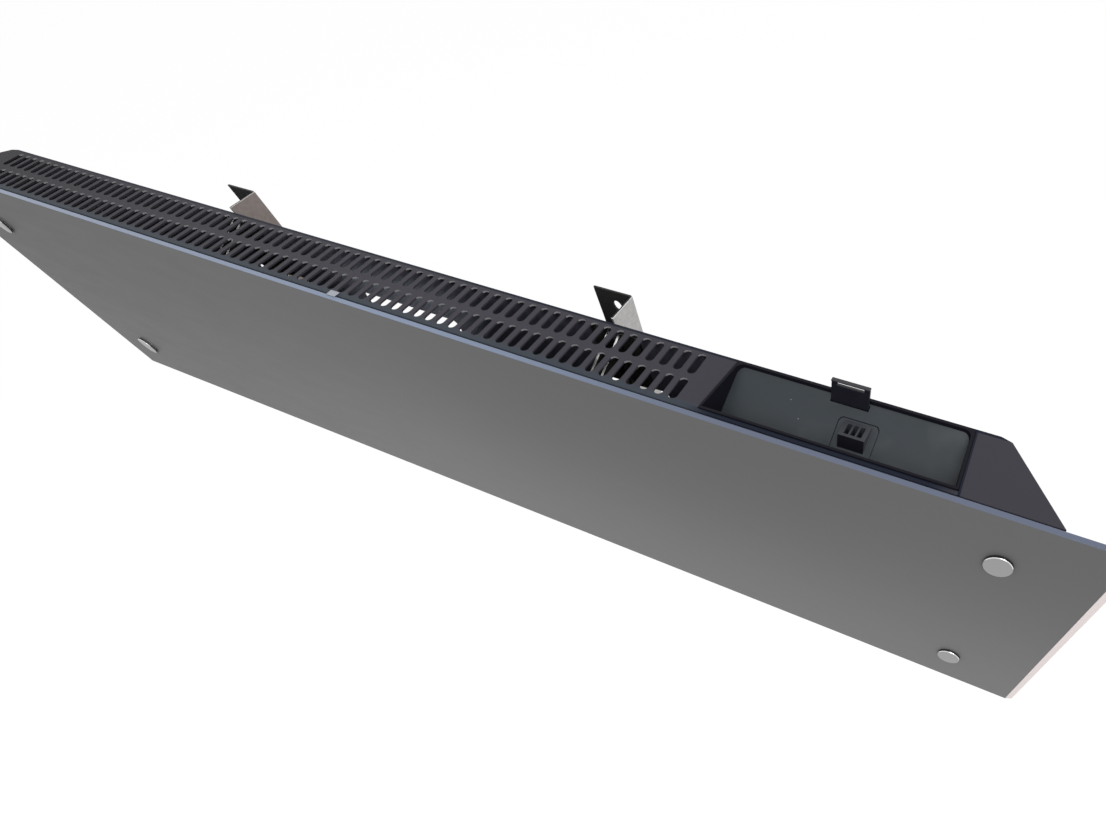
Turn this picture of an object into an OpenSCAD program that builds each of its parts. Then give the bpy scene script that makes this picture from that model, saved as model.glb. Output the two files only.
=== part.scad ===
// Glass panel heater: a low wall-hung convector behind a flat glass front.
// X runs along the heater, Y = 0 is the wall with the room towards -Y, Z is up.
// The origin is the centre of the four wall-fixing holes, on the wall plane.

/* [Glass front] */
// Width of the glass
glass_w = 1068; // [1050:1:1200]
// Height of the glass
glass_h = 200; // [196:1:240]
// Thickness of the glass
glass_t = 4; // [4:0.5:6]
// Width of the ground bevel at the left and right edges
bevel_w = 5; // [2:0.5:8]
// Depth of the ground bevel
bevel_d = 2; // [1:0.5:3]
// Gap that the pads keep between casing and glass
pad_t = 1; // [1:0.5:3]
// Height of each glass fixing from the nearer long edge
fixing_edge = 37; // [25:1:50]
// Distance of each glass fixing from the nearer short edge
fixing_side = 60; // [54:1:90]
// Diameter of the hole through the glass
glass_hole_d = 9; // [8:0.5:12]
// Diameter of the metal disc caps
cap_d = 17; // [16:1:24]
// Thickness of the metal disc caps
cap_t = 2; // [1.5:0.5:4]

/* [Casing] */
// Reach of the glass past each end of the casing
glass_reach = 38.5; // [25:0.5:45]
// Flare of each end of the casing from the rear to the front
flare = 41.5; // [30:0.5:45]
// Depth of the casing
casing_depth = 48; // [46:1:60]
// Height by which the glass hangs below the casing
glass_lap = 10; // [4:1:20]
// Thickness of the casing sheets
sheet_t = 1; // [0.8:0.1:1.5]
// Distance between the wall and the rear of the casing
wall_gap = 25; // [20:1:35]
// Width of the chamfer at the rear corners
corner_cut_w = 5; // [2:1:8]
// Depth of the chamfer at the rear corners
corner_cut_d = 2; // [1:0.5:4]

/* [Top grille] */
// Distance from slot to slot
slot_pitch = 10; // [8:0.5:12]
// Width of a slot
slot_w = 6; // [4:0.5:7]
// Length of a slot
slot_l = 18; // [12:1:20]
// Middle of the first slot, from the casing's rear corner
slot_side = 18; // [14:1:40]
// Least distance between the last slot's middle and the bay
slot_bay_gap = 18; // [12:1:30]
// Middle of the rear row, from the rear of the casing
rear_row_y = 13; // [12:0.5:16]
// Distance between the two rows
row_pitch = 22.5; // [20:0.5:24]

/* [Bottom grille] */
// Distance from inlet slot to inlet slot
inlet_pitch = 20; // [14:1:30]
// Least distance between the outer inlet slots and the casing's rear corners
inlet_side = 50; // [30:1:80]
// Width of an inlet slot
inlet_w = 8; // [4:1:10]

/* [Control bay] */
// Middle of the bay, from the casing's rear corner
bay_side = 93; // [91:1:96]
// Width of the bay at the rear
bay_rear_w = 148; // [140:1:150]
// Width of the bay at the front
bay_front_w = 156; // [150:1:158]
// Strip of casing left behind the bay
bay_rear_margin = 1.6; // [1.5:0.1:2]
// Strip of casing left in front of the bay
bay_front_margin = 2.6; // [2.3:0.1:4]
// Wall of the plastic tray
tray_wall = 1.6; // [1.2:0.1:2]
// Height of the tray's rim over the casing
tray_rim = 0.8; // [0.4:0.1:1.5]
// Depth of the sloping floor at the rear
floor_rear = 0.5; // [0.4:0.1:3]
// Slope of the floor, in degrees
floor_slope = 31; // [25:1:33]

/* [Socket and latch] */
// Middle of the socket, from the middle of the bay
socket_shift = 10.5; // [-10:0.5:20]
// Width of the socket block
socket_w = 16.5; // [14:0.5:20]
// Depth of the socket block
socket_d = 12; // [10:0.5:14]
// Depth of the socket block's top below the casing top
socket_drop = 6; // [4:0.5:9]
// Distance of the socket block from the rear of the casing
socket_y = 21; // [20:0.5:23]
// Width of the socket's mounting plate
plate_w = 25; // [22:0.5:30]
// Number of contacts
contact_count = 3; // [2:1:3]
// Distance between the contacts
contact_pitch = 4; // [3:0.5:4.5]
// Width of the latch tab
tab_w = 23.5; // [18:0.5:28]
// Middle of the latch tab, from the middle of the bay
tab_shift = 1; // [-10:0.5:15]
// Thickness of the latch tab
tab_t = 1.8; // [1.5:0.1:2.2]
// Height of the latch tab over the casing top
tab_rise = 11; // [8:0.5:14]
// Distance of the latch tab from the rear of the casing
tab_y = 5.5; // [5:0.1:6]

/* [Wall brackets] */
// Distance of a wall hole from the nearer end of the glass
hole_side = 354; // [340:1:364]
// Distance between the upper and lower wall holes
hole_rise = 130; // [110:1:134]
// Diameter of the wall holes
hole_d = 6.5; // [5:0.5:8]
// Distance of the upper wall holes below the casing top
hole_drop = 6.5; // [5:0.5:10]
// Thickness of the bracket steel
bracket_t = 1.5; // [1.5:0.5:3]
// Width of the flange on the wall
flange_w = 31; // [26:1:36]
// Distance of a wall hole from the free edge of the flange
hole_edge = 16; // [13:1:18]
// Height of the bracket over the casing top
bracket_rise = 3; // [0:0.5:5]
// Height of the bracket
bracket_h = 156; // [150:1:165]
// Gap between the bracket's web and the casing
web_gap = 1.5; // [1.5:0.1:3]
// Depth of the hook pin below the casing top
pin_drop = 62; // [60:1:64]
// Distance of the hook pin from the rear of the casing
pin_y = 8; // [7:0.5:10]
// Diameter of the hook pin
pin_d = 6; // [5:0.5:8]
// Travel that lifts the pins clear of the hooks
lift = 14; // [12:1:15]

/* [Heating element] */
// Distance of the element's far end from the casing's rear corner
element_side = 57; // [55:1:120]
// Diameter around the fins
element_d = 38; // [30:1:40]
// Number of fins around the element
fin_count = 8; // [4:1:10]
// Depth of the element below the casing top
element_drop = 117; // [115:1:125]
// Diameter of the sheathed rod
rod_d = 9; // [6:0.5:12]

/* [Hidden] */
$fn = 48;

// Overrun of every cut past the face it starts from
cut = 1;
// Clearance between pieces that are fitted side by side
fit = 0.3;
// Clearance around a shank in its hole
hole_fit = 0.1;

// Lengths and places along the heater that follow the glass
casing_h = glass_h - glass_lap;
hole_row_w = glass_w - 2 * hole_side;
casing_front_w = glass_w - 2 * glass_reach;
casing_rear_w = casing_front_w - 2 * flare;
fixing_x = glass_w / 2 - fixing_side;
bay_x = casing_rear_w / 2 - bay_side;
socket_x = bay_x + socket_shift;
tab_x = bay_x + tab_shift;
first_slot_x = -casing_rear_w / 2 + slot_side;
slot_space = bay_x - bay_front_w / 2 - slot_bay_gap - first_slot_x;
slot_count = floor(slot_space / slot_pitch) + 1;
inlet_half_count = floor((casing_rear_w / 2 - inlet_side) / inlet_pitch);
inlet_count = 2 * inlet_half_count + 1;

// Planes of the heater, from the wall towards the room and from the origin upwards
y_rear = -wall_gap;
y_front = y_rear - casing_depth;
y_glass = y_front - pad_t;
y_face = y_glass - glass_t;
z_top = hole_rise / 2 + hole_drop;
z_floor = z_top - casing_h;
z_in_top = z_top - sheet_t;
z_in_floor = z_floor + sheet_t;
y_in_rear = y_rear - sheet_t;
y_in_front = y_front + sheet_t;

// Angle of the casing's ends
flare_angle = atan(flare / casing_depth);
end_run = sheet_t / cos(flare_angle);

// Half the width of the casing at a distance behind which it has already flared
function half_w(d) = casing_rear_w / 2 + flare * d / casing_depth;

// Colours
charcoal = [0.24, 0.24, 0.27];
black_plastic = [0.10, 0.10, 0.11];
tray_grey = [0.24, 0.27, 0.28];
zinc = [0.66, 0.67, 0.66];
satin_steel = [0.74, 0.75, 0.77];
glass_grey = [0.40, 0.41, 0.42];
white_nylon = [0.90, 0.90, 0.87];
rubber_black = [0.08, 0.08, 0.08];
aluminium = [0.80, 0.81, 0.83];
brass = [0.80, 0.66, 0.35];
ceramic = [0.88, 0.84, 0.76];
brown = [0.36, 0.20, 0.12];
blue = [0.12, 0.25, 0.62];
earth_green = [0.25, 0.60, 0.20];

// A block between two corners
module block(low, high) {
    translate(low)
        cube(high - low);
}

// A bar whose outline lies across the heater, from x0 over a length
module bar(x0, length) {
    translate([x0, 0, 0])
        rotate([90, 0, 90])
            linear_extrude(length)
                children();
}

// A round shape with its axis towards the room, from y0 over a length
module peg(x, y0, z, d, length) {
    translate([x, y0, z])
        rotate([90, 0, 0])
            cylinder(d = d, h = length);
}

// A round shape with its axis along the heater
module axle(x0, y, z, d, length) {
    translate([x0, y, z])
        rotate([0, 90, 0])
            cylinder(d = d, h = length);
}

// A long round-ended hole in the plan
module plan_slot(width, length) {
    straight = length - width;
    translate([-width / 2, -straight / 2])
        square([width, straight]);
    for (side = [-1, 1])
        translate([0, side * straight / 2])
            circle(d = width);
}

// Places of the four glass fixings
module at_fixings() {
    for (side = [-1, 1])
        for (z = [z_top - fixing_edge, z_top - glass_h + fixing_edge])
            translate([side * fixing_x, 0, z])
                children();
}

// Outline of the casing seen from above
module casing_plan() {
    polygon([
        [-casing_rear_w / 2 + corner_cut_w, y_rear],
        [casing_rear_w / 2 - corner_cut_w, y_rear],
        [half_w(corner_cut_d), y_rear - corner_cut_d],
        [casing_front_w / 2, y_front],
        [-casing_front_w / 2, y_front],
        [-half_w(corner_cut_d), y_rear - corner_cut_d]
    ]);
}

// Half the width of the opening between the rear corners
rear_opening = casing_rear_w / 2 - corner_cut_w - sheet_t;

// Outline of the space between the casing's ends, open at the front and the rear
module inner_plan() {
    corner = corner_cut_d + sheet_t;
    inner_corner = half_w(corner) - end_run;
    inner_front = half_w(casing_depth + cut) - end_run;
    polygon([
        [-rear_opening, y_rear + cut],
        [rear_opening, y_rear + cut],
        [rear_opening, y_in_rear],
        [inner_corner, y_rear - corner],
        [inner_front, y_front - cut],
        [-inner_front, y_front - cut],
        [-inner_corner, y_rear - corner],
        [-rear_opening, y_in_rear]
    ]);
}

// Rows of slots for the outgoing air
module slot_rows(count, pitch, first, width) {
    for (row = [0, 1])
        for (i = [0 : count - 1])
            translate([first + i * pitch, y_rear - rear_row_y - row * row_pitch])
                plan_slot(width, slot_l);
}

// Planes of the bay
bay_y_rear = y_rear - bay_rear_margin;
bay_y_front = y_front + bay_front_margin;

// Outline of the bay seen from above, grown or shrunk on every side
module bay_plan(grow) {
    rear = bay_rear_w / 2 + grow;
    front = bay_front_w / 2 + grow;
    polygon([
        [bay_x - rear, bay_y_rear + grow],
        [bay_x + rear, bay_y_rear + grow],
        [bay_x + front, bay_y_front - grow],
        [bay_x - front, bay_y_front - grow]
    ]);
}

// Casing: one sheet folded over the top and down both ends
module casing_wrap() {
    color(charcoal) {
        translate([0, 0, z_in_top])
            linear_extrude(sheet_t)
                difference() {
                    casing_plan();
                    slot_rows(slot_count, slot_pitch, first_slot_x, slot_w);
                    bay_plan(fit);
                }
        translate([0, 0, z_floor])
            linear_extrude(casing_h - sheet_t)
                difference() {
                    casing_plan();
                    inner_plan();
                }
    }
}

inlet_first_x = -inlet_half_count * inlet_pitch;
screw_d = 3.6;
screw_head_d = 7;
screw_head_t = 2.2;
bottom_tab_h = 12;
bottom_screw_z = z_in_floor + bottom_tab_h / 2;

// Bottom: the inlet grille with a turned-up tab at each end
module bottom_grille() {
    color(charcoal) {
        translate([0, 0, z_floor])
            linear_extrude(sheet_t)
                difference() {
                    intersection() {
                        casing_plan();
                        inner_plan();
                    }
                    slot_rows(inlet_count, inlet_pitch, inlet_first_x, inlet_w);
                    translate([gland_x, gland_y])
                        circle(d = gland_d + 2 * hole_fit);
                }
        difference() {
            bottom_tabs();
            bottom_screw_places()
                peg(0, cut, 0, screw_d + 2 * hole_fit, 2 * cut + sheet_t);
        }
    }
}

tab_half = 10;
bottom_tab_share = 0.25;

// Turned-up tabs of the bottom grille, behind the front plate
module bottom_tabs() {
    for (x = bottom_screw_xs)
        block([x - tab_half, y_in_front, z_in_floor],
            [x + tab_half, y_in_front + sheet_t, z_in_floor + bottom_tab_h]);
}

bottom_screw_xs = [-casing_rear_w * bottom_tab_share, 0, casing_rear_w * bottom_tab_share];

// Places of the screws that hold the bottom grille's tabs to the front plate
module bottom_screw_places() {
    for (x = bottom_screw_xs)
        translate([x, y_in_front + sheet_t, bottom_screw_z])
            children();
}

// Wall holes and webs of the two brackets
hole_xs = [-hole_row_w / 2, hole_row_w / 2];
web_offset = flange_w - hole_edge - bracket_t;
function web_x(hole_x) = hole_x + web_offset;
hook_xs = [for (x = hole_xs) web_x(x) + bracket_t / 2];

// Hook of each bracket around its pin
hook_above = 12;
hook_below = 14;
hook_reach = 8;
hook_z = z_top - pin_drop;
hook_y = y_rear - pin_y;
notch_d = pin_d + 2 * hole_fit;

// Windows of the rear panel for the brackets' hooks
window_w = 60;
window_gap = 6;
window_top = pin_drop - hook_above - window_gap;
window_spare = 8;
window_floor = pin_drop + hook_below + lift + window_spare;
// Hand window in the middle of the rear panel
hand_w = 98;
hand_x = -16;
hand_top = 39;
hand_floor = 58;

// Rear panel with its windows
module rear_panel() {
    color(charcoal)
        difference() {
            block([-rear_opening, y_in_rear, z_in_floor], [rear_opening, y_rear, z_in_top]);
            for (x = hook_xs)
                window(x, window_w, window_top, window_floor);
            window(hand_x, hand_w, hand_top, hand_floor);
            rear_screw_places()
                peg(0, cut, 0, screw_d + 2 * hole_fit, sheet_t + 2 * cut);
            bay_relief();
        }
}

window_r = 4;

// One window with round corners through the rear panel
module window(x, width, top, floor_drop) {
    height = floor_drop - top;
    middle_z = z_top - (top + floor_drop) / 2;
    translate([x, y_rear + cut, middle_z])
        rotate([90, 0, 0])
            linear_extrude(sheet_t + 2 * cut) {
                square([width - 2 * window_r, height], center = true);
                square([width, height - 2 * window_r], center = true);
                for (sx = [-1, 1])
                    for (sz = [-1, 1])
                        translate([sx * (width / 2 - window_r), sz * (height / 2 - window_r)])
                            circle(r = window_r);
            }
}

// Room behind the tray, cut from the top of the rear panel where the tray comes close
module bay_relief() {
    reach = bay_y_rear + fit;
    if (reach > y_in_rear)
        block([bay_x - bay_front_w / 2, y_in_rear - cut, z_in_top - floor_rear - tray_wall],
            [bay_x + bay_front_w / 2, reach, z_in_top + cut]);
}

stud_d = 6;
stud_hole_d = stud_d + 2 * hole_fit;

// Steel plate that closes the casing behind the glass and carries it
module front_plate() {
    half = half_w(casing_depth - sheet_t) - end_run - fit;
    color(charcoal)
        difference() {
            block([-half, y_front, z_in_floor], [half, y_in_front, z_in_top]);
            at_fixings()
                peg(0, y_in_front + cut, 0, stud_hole_d, sheet_t + 2 * cut);
            rivet_places()
                peg(0, y_in_front + cut, 0, rivet_d + 2 * hole_fit, sheet_t + 2 * cut);
            bottom_screw_places()
                peg(0, cut, 0, screw_d + 2 * hole_fit, 2 * sheet_t + 2 * cut);
        }
}

// Toughened glass with four drilled holes and ground side bevels
module glass_panel() {
    half = glass_w / 2;
    color(glass_grey)
        difference() {
            translate([0, 0, z_top - glass_h])
                linear_extrude(glass_h)
                    polygon([
                        [-half, y_glass],
                        [half, y_glass],
                        [half, y_face + bevel_d],
                        [half - bevel_w, y_face],
                        [-half + bevel_w, y_face],
                        [-half, y_face + bevel_d]
                    ]);
            at_fixings()
                peg(0, y_glass + cut, 0, glass_hole_d, glass_t + 2 * cut);
        }
}

bush_flange_d = 14;
bush_flange_t = 0.6;
cap_chamfer = 0.4;
thread_depth = 1.2;

// Turned disc caps over the glass
module disc_caps() {
    color(satin_steel)
        at_fixings()
            translate([0, y_face - bush_flange_t, 0])
                rotate([90, 0, 0])
                    rotate_extrude()
                        polygon([
                            [stud_d / 2, 0],
                            [cap_d / 2 - cap_chamfer, 0],
                            [cap_d / 2, cap_chamfer],
                            [cap_d / 2, cap_t - cap_chamfer],
                            [cap_d / 2 - cap_chamfer, cap_t],
                            [0, cap_t],
                            [0, thread_depth],
                            [stud_d / 2, thread_depth]
                        ]);
}

// Nylon bushes that keep the studs off the glass
module cap_bushes() {
    color(white_nylon)
        at_fixings()
            difference() {
                union() {
                    peg(0, y_face, 0, bush_flange_d, bush_flange_t);
                    peg(0, y_glass, 0, glass_hole_d - 2 * hole_fit, glass_t);
                }
                peg(0, y_glass + cut, 0, stud_hole_d, glass_t + bush_flange_t + 2 * cut);
            }
}

nut_t = 5;
nut_across = 10;
stud_tail = 2;

// Threaded studs that carry the caps
module glass_studs() {
    tail = y_in_front + nut_t + stud_tail;
    tip = y_face - bush_flange_t - thread_depth;
    color(zinc)
        at_fixings()
            peg(0, tail, 0, stud_d, tail - tip);
}

// Hexagon nuts behind the front plate
module stud_nuts() {
    color(zinc)
        at_fixings()
            difference() {
                translate([0, y_in_front + nut_t, 0])
                    rotate([90, 0, 0])
                        cylinder(d = nut_across / cos(30), h = nut_t, $fn = 6);
                peg(0, y_in_front + nut_t + cut, 0, stud_hole_d, nut_t + 2 * cut);
            }
}

pad_size = 20;
pad_edge = 10;
pad_hook_gap = 30;
ring_pad_d = 16;

// Soft pads between the front plate and the glass
module glass_pads() {
    reach = fixing_x - 2 * pad_size;
    places = [-reach, hook_xs[0] + pad_hook_gap, hook_xs[1] - pad_hook_gap, reach];
    color(rubber_black) {
        at_fixings()
            difference() {
                peg(0, y_front, 0, ring_pad_d, pad_t);
                peg(0, y_front + cut, 0, glass_hole_d, pad_t + 2 * cut);
            }
        for (x = places)
            for (z = [z_in_top - pad_edge - pad_size, z_in_floor + pad_edge + bottom_tab_h])
                translate([x - pad_size / 2, y_glass, z])
                    cube([pad_size, pad_t, pad_size]);
    }
}

clip_x = -8;
clip_w = 8;
clip_t = 0.6;
clip_leg = 12;
clip_over_glass = 1;
clip_over_casing = 3;

// Spring clip that bridges the casing's edge and the top of the glass
module glass_top_clip() {
    low = clip_x - clip_w / 2;
    high = clip_x + clip_w / 2;
    leg_y = y_front - (pad_t - clip_t) / 2;
    color(satin_steel) {
        block([low, y_glass - clip_over_glass, z_top],
            [high, y_front + clip_over_casing, z_top + clip_t]);
        block([low, leg_y - clip_t, z_top - clip_leg], [high, leg_y, z_top]);
    }
}

// Fall of the tray's floor towards the front
floor_fall = tan(floor_slope);
function floor_z(y) = z_top - floor_rear - (bay_y_rear - y) * floor_fall;
tray_ear_w = 7;
tray_ear_t = 1.5;

// Section of the bay's space above the sloping floor, lowered by a thickness
module bay_section(lower) {
    polygon([
        [bay_y_rear + cut, z_top + tray_rim + cut],
        [bay_y_front - cut, z_top + tray_rim + cut],
        [bay_y_front - cut, floor_z(bay_y_front - cut) - lower],
        [bay_y_rear + cut, floor_z(bay_y_rear + cut) - lower]
    ]);
}

// Prism over the bay's plan, from below the floor up to a height
module bay_prism(grow, top) {
    low = floor_z(bay_y_front) - 2 * tray_wall;
    translate([0, 0, low])
        linear_extrude(top - low)
            bay_plan(grow);
}

// Margin of the socket's mounting plate around the block, and its round corners
plate_margin = 2.5;
plate_r = 3;

// Outline of the socket's mounting plate seen from above
module plate_plan(grow) {
    w = plate_w + 2 * grow;
    rear = y_rear - socket_y + socket_d / 2 + plate_margin + grow;
    front = y_rear - socket_y - socket_d / 2 - plate_margin - grow;
    translate([socket_x - w / 2, front])
        square([w, rear - front - plate_r]);
    translate([socket_x - w / 2 + plate_r, rear - plate_r])
        square([w - 2 * plate_r, plate_r]);
    for (side = [-1, 1])
        translate([socket_x + side * (w / 2 - plate_r), rear - plate_r])
            circle(r = plate_r);
}

// Plastic tray of the control bay, with a floor that falls towards the front
module control_tray() {
    color(black_plastic)
        difference() {
            union() {
                intersection() {
                    bay_prism(0, z_top + tray_rim);
                    bar(bay_x - bay_front_w, 2 * bay_front_w)
                        bay_section(tray_wall);
                }
                for (side = [-1, 1])
                    tray_ear(side);
            }
            intersection() {
                bay_prism(-tray_wall, z_top + tray_rim + cut);
                bar(bay_x - bay_front_w, 2 * bay_front_w)
                    bay_section(0);
            }
            translate([0, 0, z_floor])
                linear_extrude(casing_h)
                    plate_plan(fit);
            tab_pocket();
        }
}

ear_y_share = 0.5;
ear_l = 20;

// Ear under the casing sheet at one end of the tray
module tray_ear(side) {
    y = y_rear - casing_depth * ear_y_share;
    inner = bay_rear_w / 2 - tray_wall;
    outer = bay_front_w / 2 + tray_ear_w;
    low_x = min(side * inner, side * outer);
    block([bay_x + low_x, y - ear_l / 2, z_in_top - tray_ear_t],
        [bay_x + low_x + outer - inner, y + ear_l / 2, z_in_top]);
}

// The latch tab's foot and hinge line
tab_mid_y = y_rear - tab_y;
tab_foot_z = floor_z(tab_mid_y) - tray_wall / 2;

// Pocket in the tray's floor for the foot of the latch tab
module tab_pocket() {
    block([tab_x - tab_w / 2 - fit, tab_mid_y - tab_t / 2 - 2 * fit, tab_foot_z - tab_t / 2 - fit],
        [tab_x + tab_w / 2 + fit, tab_mid_y + tab_t / 2 + 2 * fit, z_top]);
}

tab_slot_w = 16.5;
tab_slot_h = 1.8;
tab_slot_edge = 1.3;
tab_nose = 0.8;

// Latch tab that holds the control unit, with a slot near its top
module latch_tab() {
    top = z_top + tab_rise;
    slot_top = top - tab_slot_edge;
    low_x = tab_x - tab_w / 2;
    color(black_plastic)
        difference() {
            union() {
                block([low_x, tab_mid_y - tab_t / 2, tab_foot_z],
                    [low_x + tab_w, tab_mid_y + tab_t / 2, top]);
                axle(low_x, tab_mid_y, tab_foot_z, tab_t, tab_w);
                block([low_x, tab_mid_y - tab_t / 2 - tab_nose, top - tab_nose],
                    [low_x + tab_w, tab_mid_y, top]);
            }
            block([tab_x - tab_slot_w / 2, tab_mid_y - tab_t / 2 - tab_nose - cut, slot_top - tab_slot_h],
                [tab_x + tab_slot_w / 2, tab_mid_y + tab_t / 2 + cut, slot_top]);
        }
}

socket_mid_y = y_rear - socket_y;
socket_below = 10;
contact_slot_w = 2.8;
contact_slot_l = 8;
contact_t = 0.8;
contact_tail = 5;

// Socket block on its sloping plate
module control_socket() {
    top = z_top - socket_drop;
    low = floor_z(socket_mid_y) - socket_below;
    color(tray_grey)
        difference() {
            union() {
                intersection() {
                    translate([0, 0, z_floor])
                        linear_extrude(casing_h)
                            plate_plan(0);
                    difference() {
                        bar(bay_x - bay_front_w, 2 * bay_front_w)
                            bay_section(tray_wall);
                        bar(bay_x - bay_front_w - cut, 2 * bay_front_w + 2 * cut)
                            bay_section(0);
                    }
                }
                block([socket_x - socket_w / 2, socket_mid_y - socket_d / 2, low],
                    [socket_x + socket_w / 2, socket_mid_y + socket_d / 2, top]);
                block([socket_x - plate_w / 2, socket_mid_y - socket_d / 2, low],
                    [socket_x + plate_w / 2, socket_mid_y + socket_d / 2, low + tray_wall]);
                socket_clips();
            }
            for (i = [0 : contact_count - 1])
                block([contact_x(i) - contact_slot_w / 2, socket_mid_y - contact_slot_l / 2, low - cut],
                    [contact_x(i) + contact_slot_w / 2, socket_mid_y + contact_slot_l / 2, top + cut]);
        }
}

clip_arm_t = 2;

// Arms that snap the socket under the tray's floor on both sides
module socket_clips() {
    for (side = [-1, 1]) {
        outer = side * (plate_w / 2 + clip_arm_t);
        inner = side * (plate_w / 2 - clip_arm_t);
        low_x = socket_x + min(outer, inner);
        y_low = socket_mid_y - socket_d / 2;
        under = floor_z(y_low) - tray_wall - fit;
        block([low_x, y_low, under - clip_arm_t],
            [low_x + 2 * clip_arm_t, y_low + clip_arm_t, under]);
        block([socket_x + min(side * plate_w / 2, inner), y_low, floor_z(socket_mid_y) - socket_below],
            [socket_x + max(side * plate_w / 2, inner), y_low + clip_arm_t, under]);
    }
}

function contact_x(i) = socket_x + (i - (contact_count - 1) / 2) * contact_pitch;
contact_low = floor_z(socket_mid_y) - socket_below - contact_tail;

// Contact springs in the socket's slots
module socket_contacts() {
    top = z_top - socket_drop - contact_slot_w;
    color(brass)
        for (i = [0 : contact_count - 1])
            translate([contact_x(i) + contact_slot_w / 2, socket_mid_y - contact_slot_l / 2, contact_low])
                translate([-contact_t, 0, 0])
                    cube([contact_t, contact_slot_l, top - contact_low]);
}

web_ear_h = 10;

// One wall bracket: a flange on the wall and a web with an ear and a hook at its front
module wall_bracket(hole_x) {
    top = z_top + bracket_rise;
    web_front = y_rear + web_gap;
    x0 = web_x(hole_x);
    color(zinc)
        difference() {
            union() {
                block([hole_x - hole_edge, -bracket_t, top - bracket_h], [x0 + bracket_t, 0, top]);
                block([x0, web_front, top - bracket_h], [x0 + bracket_t, 0, top]);
                block([x0, y_rear + fit, top - web_ear_h], [x0 + bracket_t, web_front, top]);
                block([x0, hook_y - hook_reach, hook_z - hook_below],
                    [x0 + bracket_t, web_front, hook_z + hook_above]);
            }
            for (z = [-hole_rise / 2, hole_rise / 2])
                peg(hole_x, cut, z, hole_d, bracket_t + 2 * cut);
            axle(x0 - cut, hook_y, hook_z, notch_d, bracket_t + 2 * cut);
            block([x0 - cut, hook_y - notch_d / 2, hook_z],
                [x0 + bracket_t + cut, hook_y + notch_d / 2, hook_z + hook_above + cut]);
        }
}

module wall_bracket_left() {
    wall_bracket(hole_xs[0]);
}

module wall_bracket_right() {
    wall_bracket(hole_xs[1]);
}

hanger_t = 1.5;
hanger_half = 3.5;
hanger_lip = 14;
// Drop of a hanger's sloping top edge at the rear panel and at the front plate
hanger_top = 4;
hanger_front_top = 23;
hanger_floor = 160;
// Cut-out of a hanger's sides above the pin
relief_rear = 6;
relief_front = 36;
relief_top = 23;
relief_floor = 41;
element_clear = 3;
element_z = z_top - element_drop;
element_y = y_rear - casing_depth / 2;

// One inner hanger: a hat section from the rear panel to the front plate
module hanger_bracket(x) {
    outer = hanger_half + hanger_t;
    low = z_top - hanger_floor;
    height = hanger_floor - hanger_top;
    lip_y = y_in_rear - hanger_t;
    color(zinc)
        difference() {
            translate([x, 0, low])
                linear_extrude(height) {
                    for (side = [-1, 1]) {
                        translate([side * (hanger_half + hanger_t / 2) - hanger_t / 2, y_in_front])
                            square([hanger_t, y_in_rear - y_in_front]);
                        translate([side * (outer + hanger_lip / 2) - hanger_lip / 2, lip_y])
                            square([hanger_lip, hanger_t]);
                    }
                    translate([-hanger_half, y_in_front])
                        square([2 * hanger_half, hanger_t]);
                }
            axle(x - outer - cut, hook_y, hook_z, pin_d + 2 * hole_fit, 2 * outer + 2 * cut);
            axle(x - outer - cut, element_y, element_z, element_d + 2 * element_clear, 2 * outer + 2 * cut);
            rear_screw_places()
                peg(0, y_rear - y_in_rear, 0, screw_d + 2 * hole_fit, 2 * hanger_t + 2 * cut);
            rivet_places()
                peg(0, y_in_front + hanger_t + cut, 0, rivet_d + 2 * hole_fit, hanger_t + 2 * cut);
            hanger_window_cut(x);
            hanger_slope_cut(x);
            block([x - outer - cut, y_in_rear - relief_front, z_top - relief_floor],
                [x + outer + cut, y_in_rear - relief_rear, z_top - relief_top]);
        }
}

// The top edge of a hanger falls towards the front plate
module hanger_slope_cut(x) {
    reach = hanger_half + hanger_t + hanger_lip + cut;
    translate([x + reach, 0, 0])
        rotate([0, -90, 0])
            linear_extrude(2 * reach)
                polygon([[z_top - hanger_top, y_in_rear + cut], [z_top, y_in_rear + cut],
                    [z_top, y_in_front - cut], [z_top - hanger_front_top, y_in_front - cut]]);
}

// Lips are cut back beside the window, so that the bracket's hook has room
module hanger_window_cut(x) {
    block([x - window_w / 2, y_in_rear - hanger_t - cut, z_top - window_floor],
        [x - hanger_half - hanger_t, y_in_rear + cut, z_top - window_top]);
    block([x + hanger_half + hanger_t, y_in_rear - hanger_t - cut, z_top - window_floor],
        [x + window_w / 2, y_in_rear + cut, z_top - window_top]);
}

module hanger_bracket_left() {
    hanger_bracket(hook_xs[0]);
}

module hanger_bracket_right() {
    hanger_bracket(hook_xs[1]);
}

pin_head_d = 9;
pin_head_t = 1.5;

// Headed pins across the hangers, which rest in the hooks
module hook_pins() {
    outer = hanger_half + hanger_t;
    color(satin_steel)
        for (x = hook_xs) {
            axle(x - outer, hook_y, hook_z, pin_d, 2 * outer);
            axle(x - outer - pin_head_t, hook_y, hook_z, pin_head_d, pin_head_t);
            axle(x + outer, hook_y, hook_z, pin_head_d, pin_head_t);
        }
}

buffer_w = 12;
buffer_h = 24;
buffer_drop = 110;

// Rubber buffers on the rear panel, against the lower part of the webs
module rear_buffers() {
    color(rubber_black)
        for (x = hook_xs)
            block([x - buffer_w / 2, y_rear, z_top - buffer_drop - buffer_h],
                [x + buffer_w / 2, y_rear + web_gap - fit, z_top - buffer_drop]);
}

element_end_gap = 12;
partition_gap = 8;
partition_x = bay_x - bay_front_w / 2 - partition_gap;
element_x0 = -casing_rear_w / 2 + element_side;
element_l = partition_x - element_end_gap - element_x0;
fin_t = 1.6;
core_wall = 2;
core_d = rod_d + 2 * core_wall;

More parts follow.
